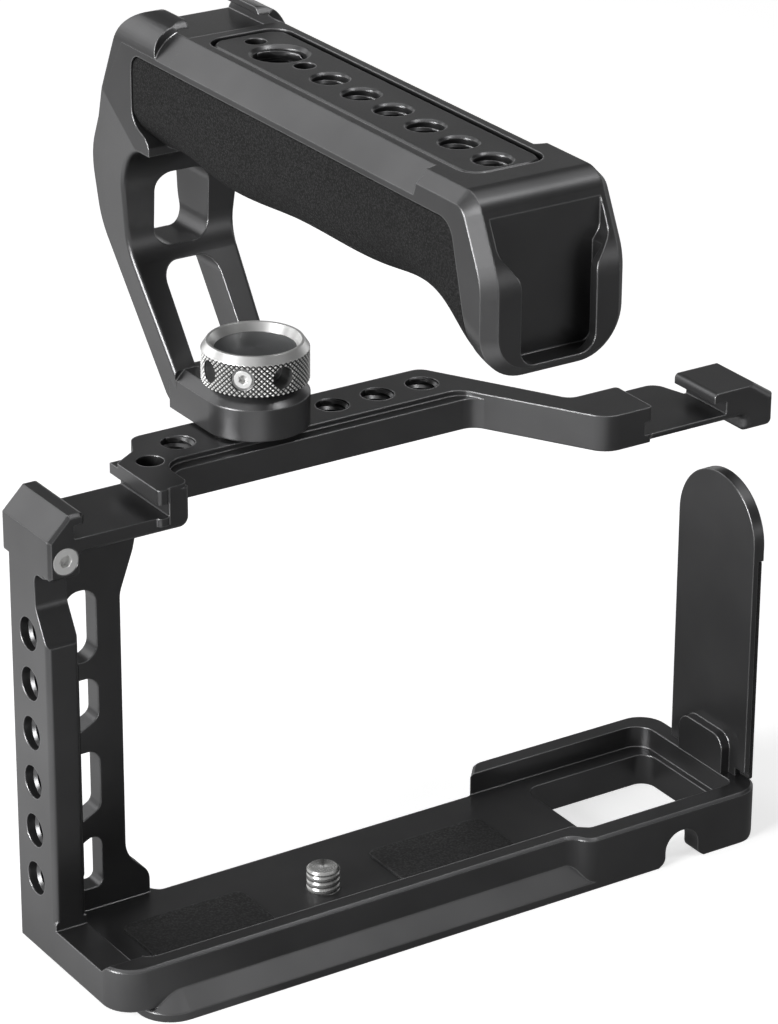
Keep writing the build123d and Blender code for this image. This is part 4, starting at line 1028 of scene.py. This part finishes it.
def makeHandleShell(sizes, settings, material):
    piece = addPiece("handleShell", copyNode("handle_frame"), material, "handle")
    front, high, half = sizes["toolEnds"][0], sizes["toolTop"], sizes["toolHalf"]
    low, rear, top = sizes["clearAbove"], sizes["slotRear"], sizes["gripTop"]
    behind = rear + sizes["clearBehind"]
    outline = ((front, low), (rear, low), (rear, top), (behind, top), (behind, high), (front, high))
    tool = prismTool("headSpace", outline, lambda along, up: (-half, along, up), (2 * half, 0, 0))
    combine(piece, tool, "DIFFERENCE")
    combine(piece, makeHead(sizes), "UNION")
    cutFacets(piece, sizes)
    dropSlivers(piece.data)
    shadeFaces(piece.data)
    restoreNormals(piece.data, nodes["handle_frame"].data, settings)
    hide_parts("handle_frame")


# grip skins and the upright's pad, wrapped round their seats
gripSkinSettings = {
    "voxel": 0.55,
    "smoothFactor": 0.5,
    "smoothRounds": 5,
}
postPadSettings = {
    "voxel": 0.4,
    "smoothFactor": 0.5,
    "smoothRounds": 3,
}


def makeWrappedPad(name, node, body, material, settings):
    piece = addPiece(name, copyNode(node), material, body, sharp=180.0)
    remesh = piece.modifiers.new("remesh", "REMESH")
    remesh.mode = "VOXEL"
    remesh.voxel_size = settings["voxel"] * mm
    soften = piece.modifiers.new("soften", "SMOOTH")
    soften.factor = settings["smoothFactor"]
    soften.iterations = settings["smoothRounds"]
    applyModifiers(piece)
    piece.data.shade_smooth()
    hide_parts(node)


# flat pads
slabShape = {
    "cornerSteps": 6,
    "rimSteps": 3,
    "along": 0.9,         # from this share of an edge or a normal, it counts as along the axis
    "leastFace": 1e-6,    # square metres
}
basePadSettings = {
    "length": 26.0,
    "middles": (27.0, -27.0),
    "corner": 2.0,
    "rim": 0.35,
}
sidePadSettings = {
    "corner": 0.9,
    "rim": 0.25,
}


def roundEdges(bm, edges, radius, steps):
    bmesh.ops.bevel(
        bm, geom=edges, offset=radius * mm, offset_type="OFFSET", affect="EDGES", segments=steps,
        profile=0.5, material=-1,
    )


def makeSlab(low, high, up, settings, shape):
    # A thin pad with round corners and a soft rim; up is the axis it rises along.
    bm = bmesh.new()
    made = bmesh.ops.create_cube(bm, size=1)["verts"]
    bmesh.ops.scale(bm, verts=made, vec=Vector(high) - Vector(low))
    bmesh.ops.translate(bm, verts=made, vec=(Vector(low) + Vector(high)) / 2)
    ways = [(edge, (edge.verts[0].co - edge.verts[1].co).normalized()) for edge in bm.edges]
    standing = [edge for edge, way in ways if abs(way[up]) > shape["along"]]
    roundEdges(bm, standing, settings["corner"], shape["cornerSteps"])
    level = [face for face in bm.faces if abs(face.normal[up]) > shape["along"]]
    rims = {edge for face in level if face.calc_area() > shape["leastFace"] for edge in face.edges}
    roundEdges(bm, list(rims), settings["rim"], shape["rimSteps"])
    return bm


def makeBasePads(settings, shape, material):
    low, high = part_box("base_pads")
    half = settings["length"] / 2 * mm
    joined = bmesh.new()
    for x in settings["middles"]:
        left, right = (x * mm - half, low[1], low[2]), (x * mm + half, high[1], high[2])
        part = meshFrom(makeSlab(left, right, 2, settings, shape), "basePad")
        joined.from_mesh(part)
        bpy.data.meshes.remove(part)
    piece = addPiece("basePads", joined, material, "cage")
    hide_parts("base_pads")


def makeSidePad(settings, shape, material):
    low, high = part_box("side_pad")
    slab = makeSlab(low, high, 0, settings, shape)
    piece = addPiece("sidePad", slab, material, "cage")
    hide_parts("side_pad")


# everything made
anodised = makeAnodised("blackAnodised", anodisedLook)
threadFinish = makeAnodised("blackAnodisedThread", threadFinishLook)
knobSteel = makeKnobSteel("knobSteel", knobLook, knobSizes)
brightSteel = makeScrewSteel("brightSteel", screwLook)
studSteel = makeScrewSteel("studSteel", studLook)
cameraSteel = makeScrewSteel("cameraScrewSteel", cameraScrewLook)
darkSteel = makeScrewSteel("darkSteel", darkScrewLook)
darkCap = makeDarkCap("darkCap", capLook)
leatherette = makeStippled("leatherette", leatherLook)
rubber = makeStippled("blackRubber", rubberLook)
print("finishes made")

makeKnob(knobSizes, knobSteel)
print("knob knurled and drilled")
makeHandleShell(shellSizes, normalSettings, anodised)
print("handle shell joined")
makeThreads("cageThreads", cageHoles, threadShape, threadFinish, "cage")
makeThreads("railThreads", railHoles, threadShape, threadFinish, "handle")
print("threads cut")
for side in ("left", "right"):
    name = "gripSkin" + side.capitalize()
    makeWrappedPad(name, "grip_pad_" + side, "handle", leatherette, gripSkinSettings)
makeWrappedPad("postPad", "grip_post_pad", "cage", rubber, postPadSettings)
makeBasePads(basePadSettings, slabShape, rubber)
makeSidePad(sidePadSettings, slabShape, rubber)
print("pads wrapped")

nodeFinish = {
    "cage_frame": anodised,
    "grip_post": anodised,
    "top_rail": anodised,
    "top_rail_screws": darkSteel,
    "grip_post_screws": darkSteel,
    "lug_lock_screw": brightSteel,
    "locating_pins": brightSteel,
    "thrust_washer": brightSteel,
    "knob_set_screws": brightSteel,
    "knob_stud": studSteel,
    "knob_cap": darkCap,
    "camera_screw": cameraSteel,
    "camera_screw_washer": darkCap,
}
for name, material in nodeFinish.items():
    nodes[name].data.materials.clear()
    nodes[name].data.materials.append(material)
print("finishes on", len(nodeFinish), "carried-over nodes")
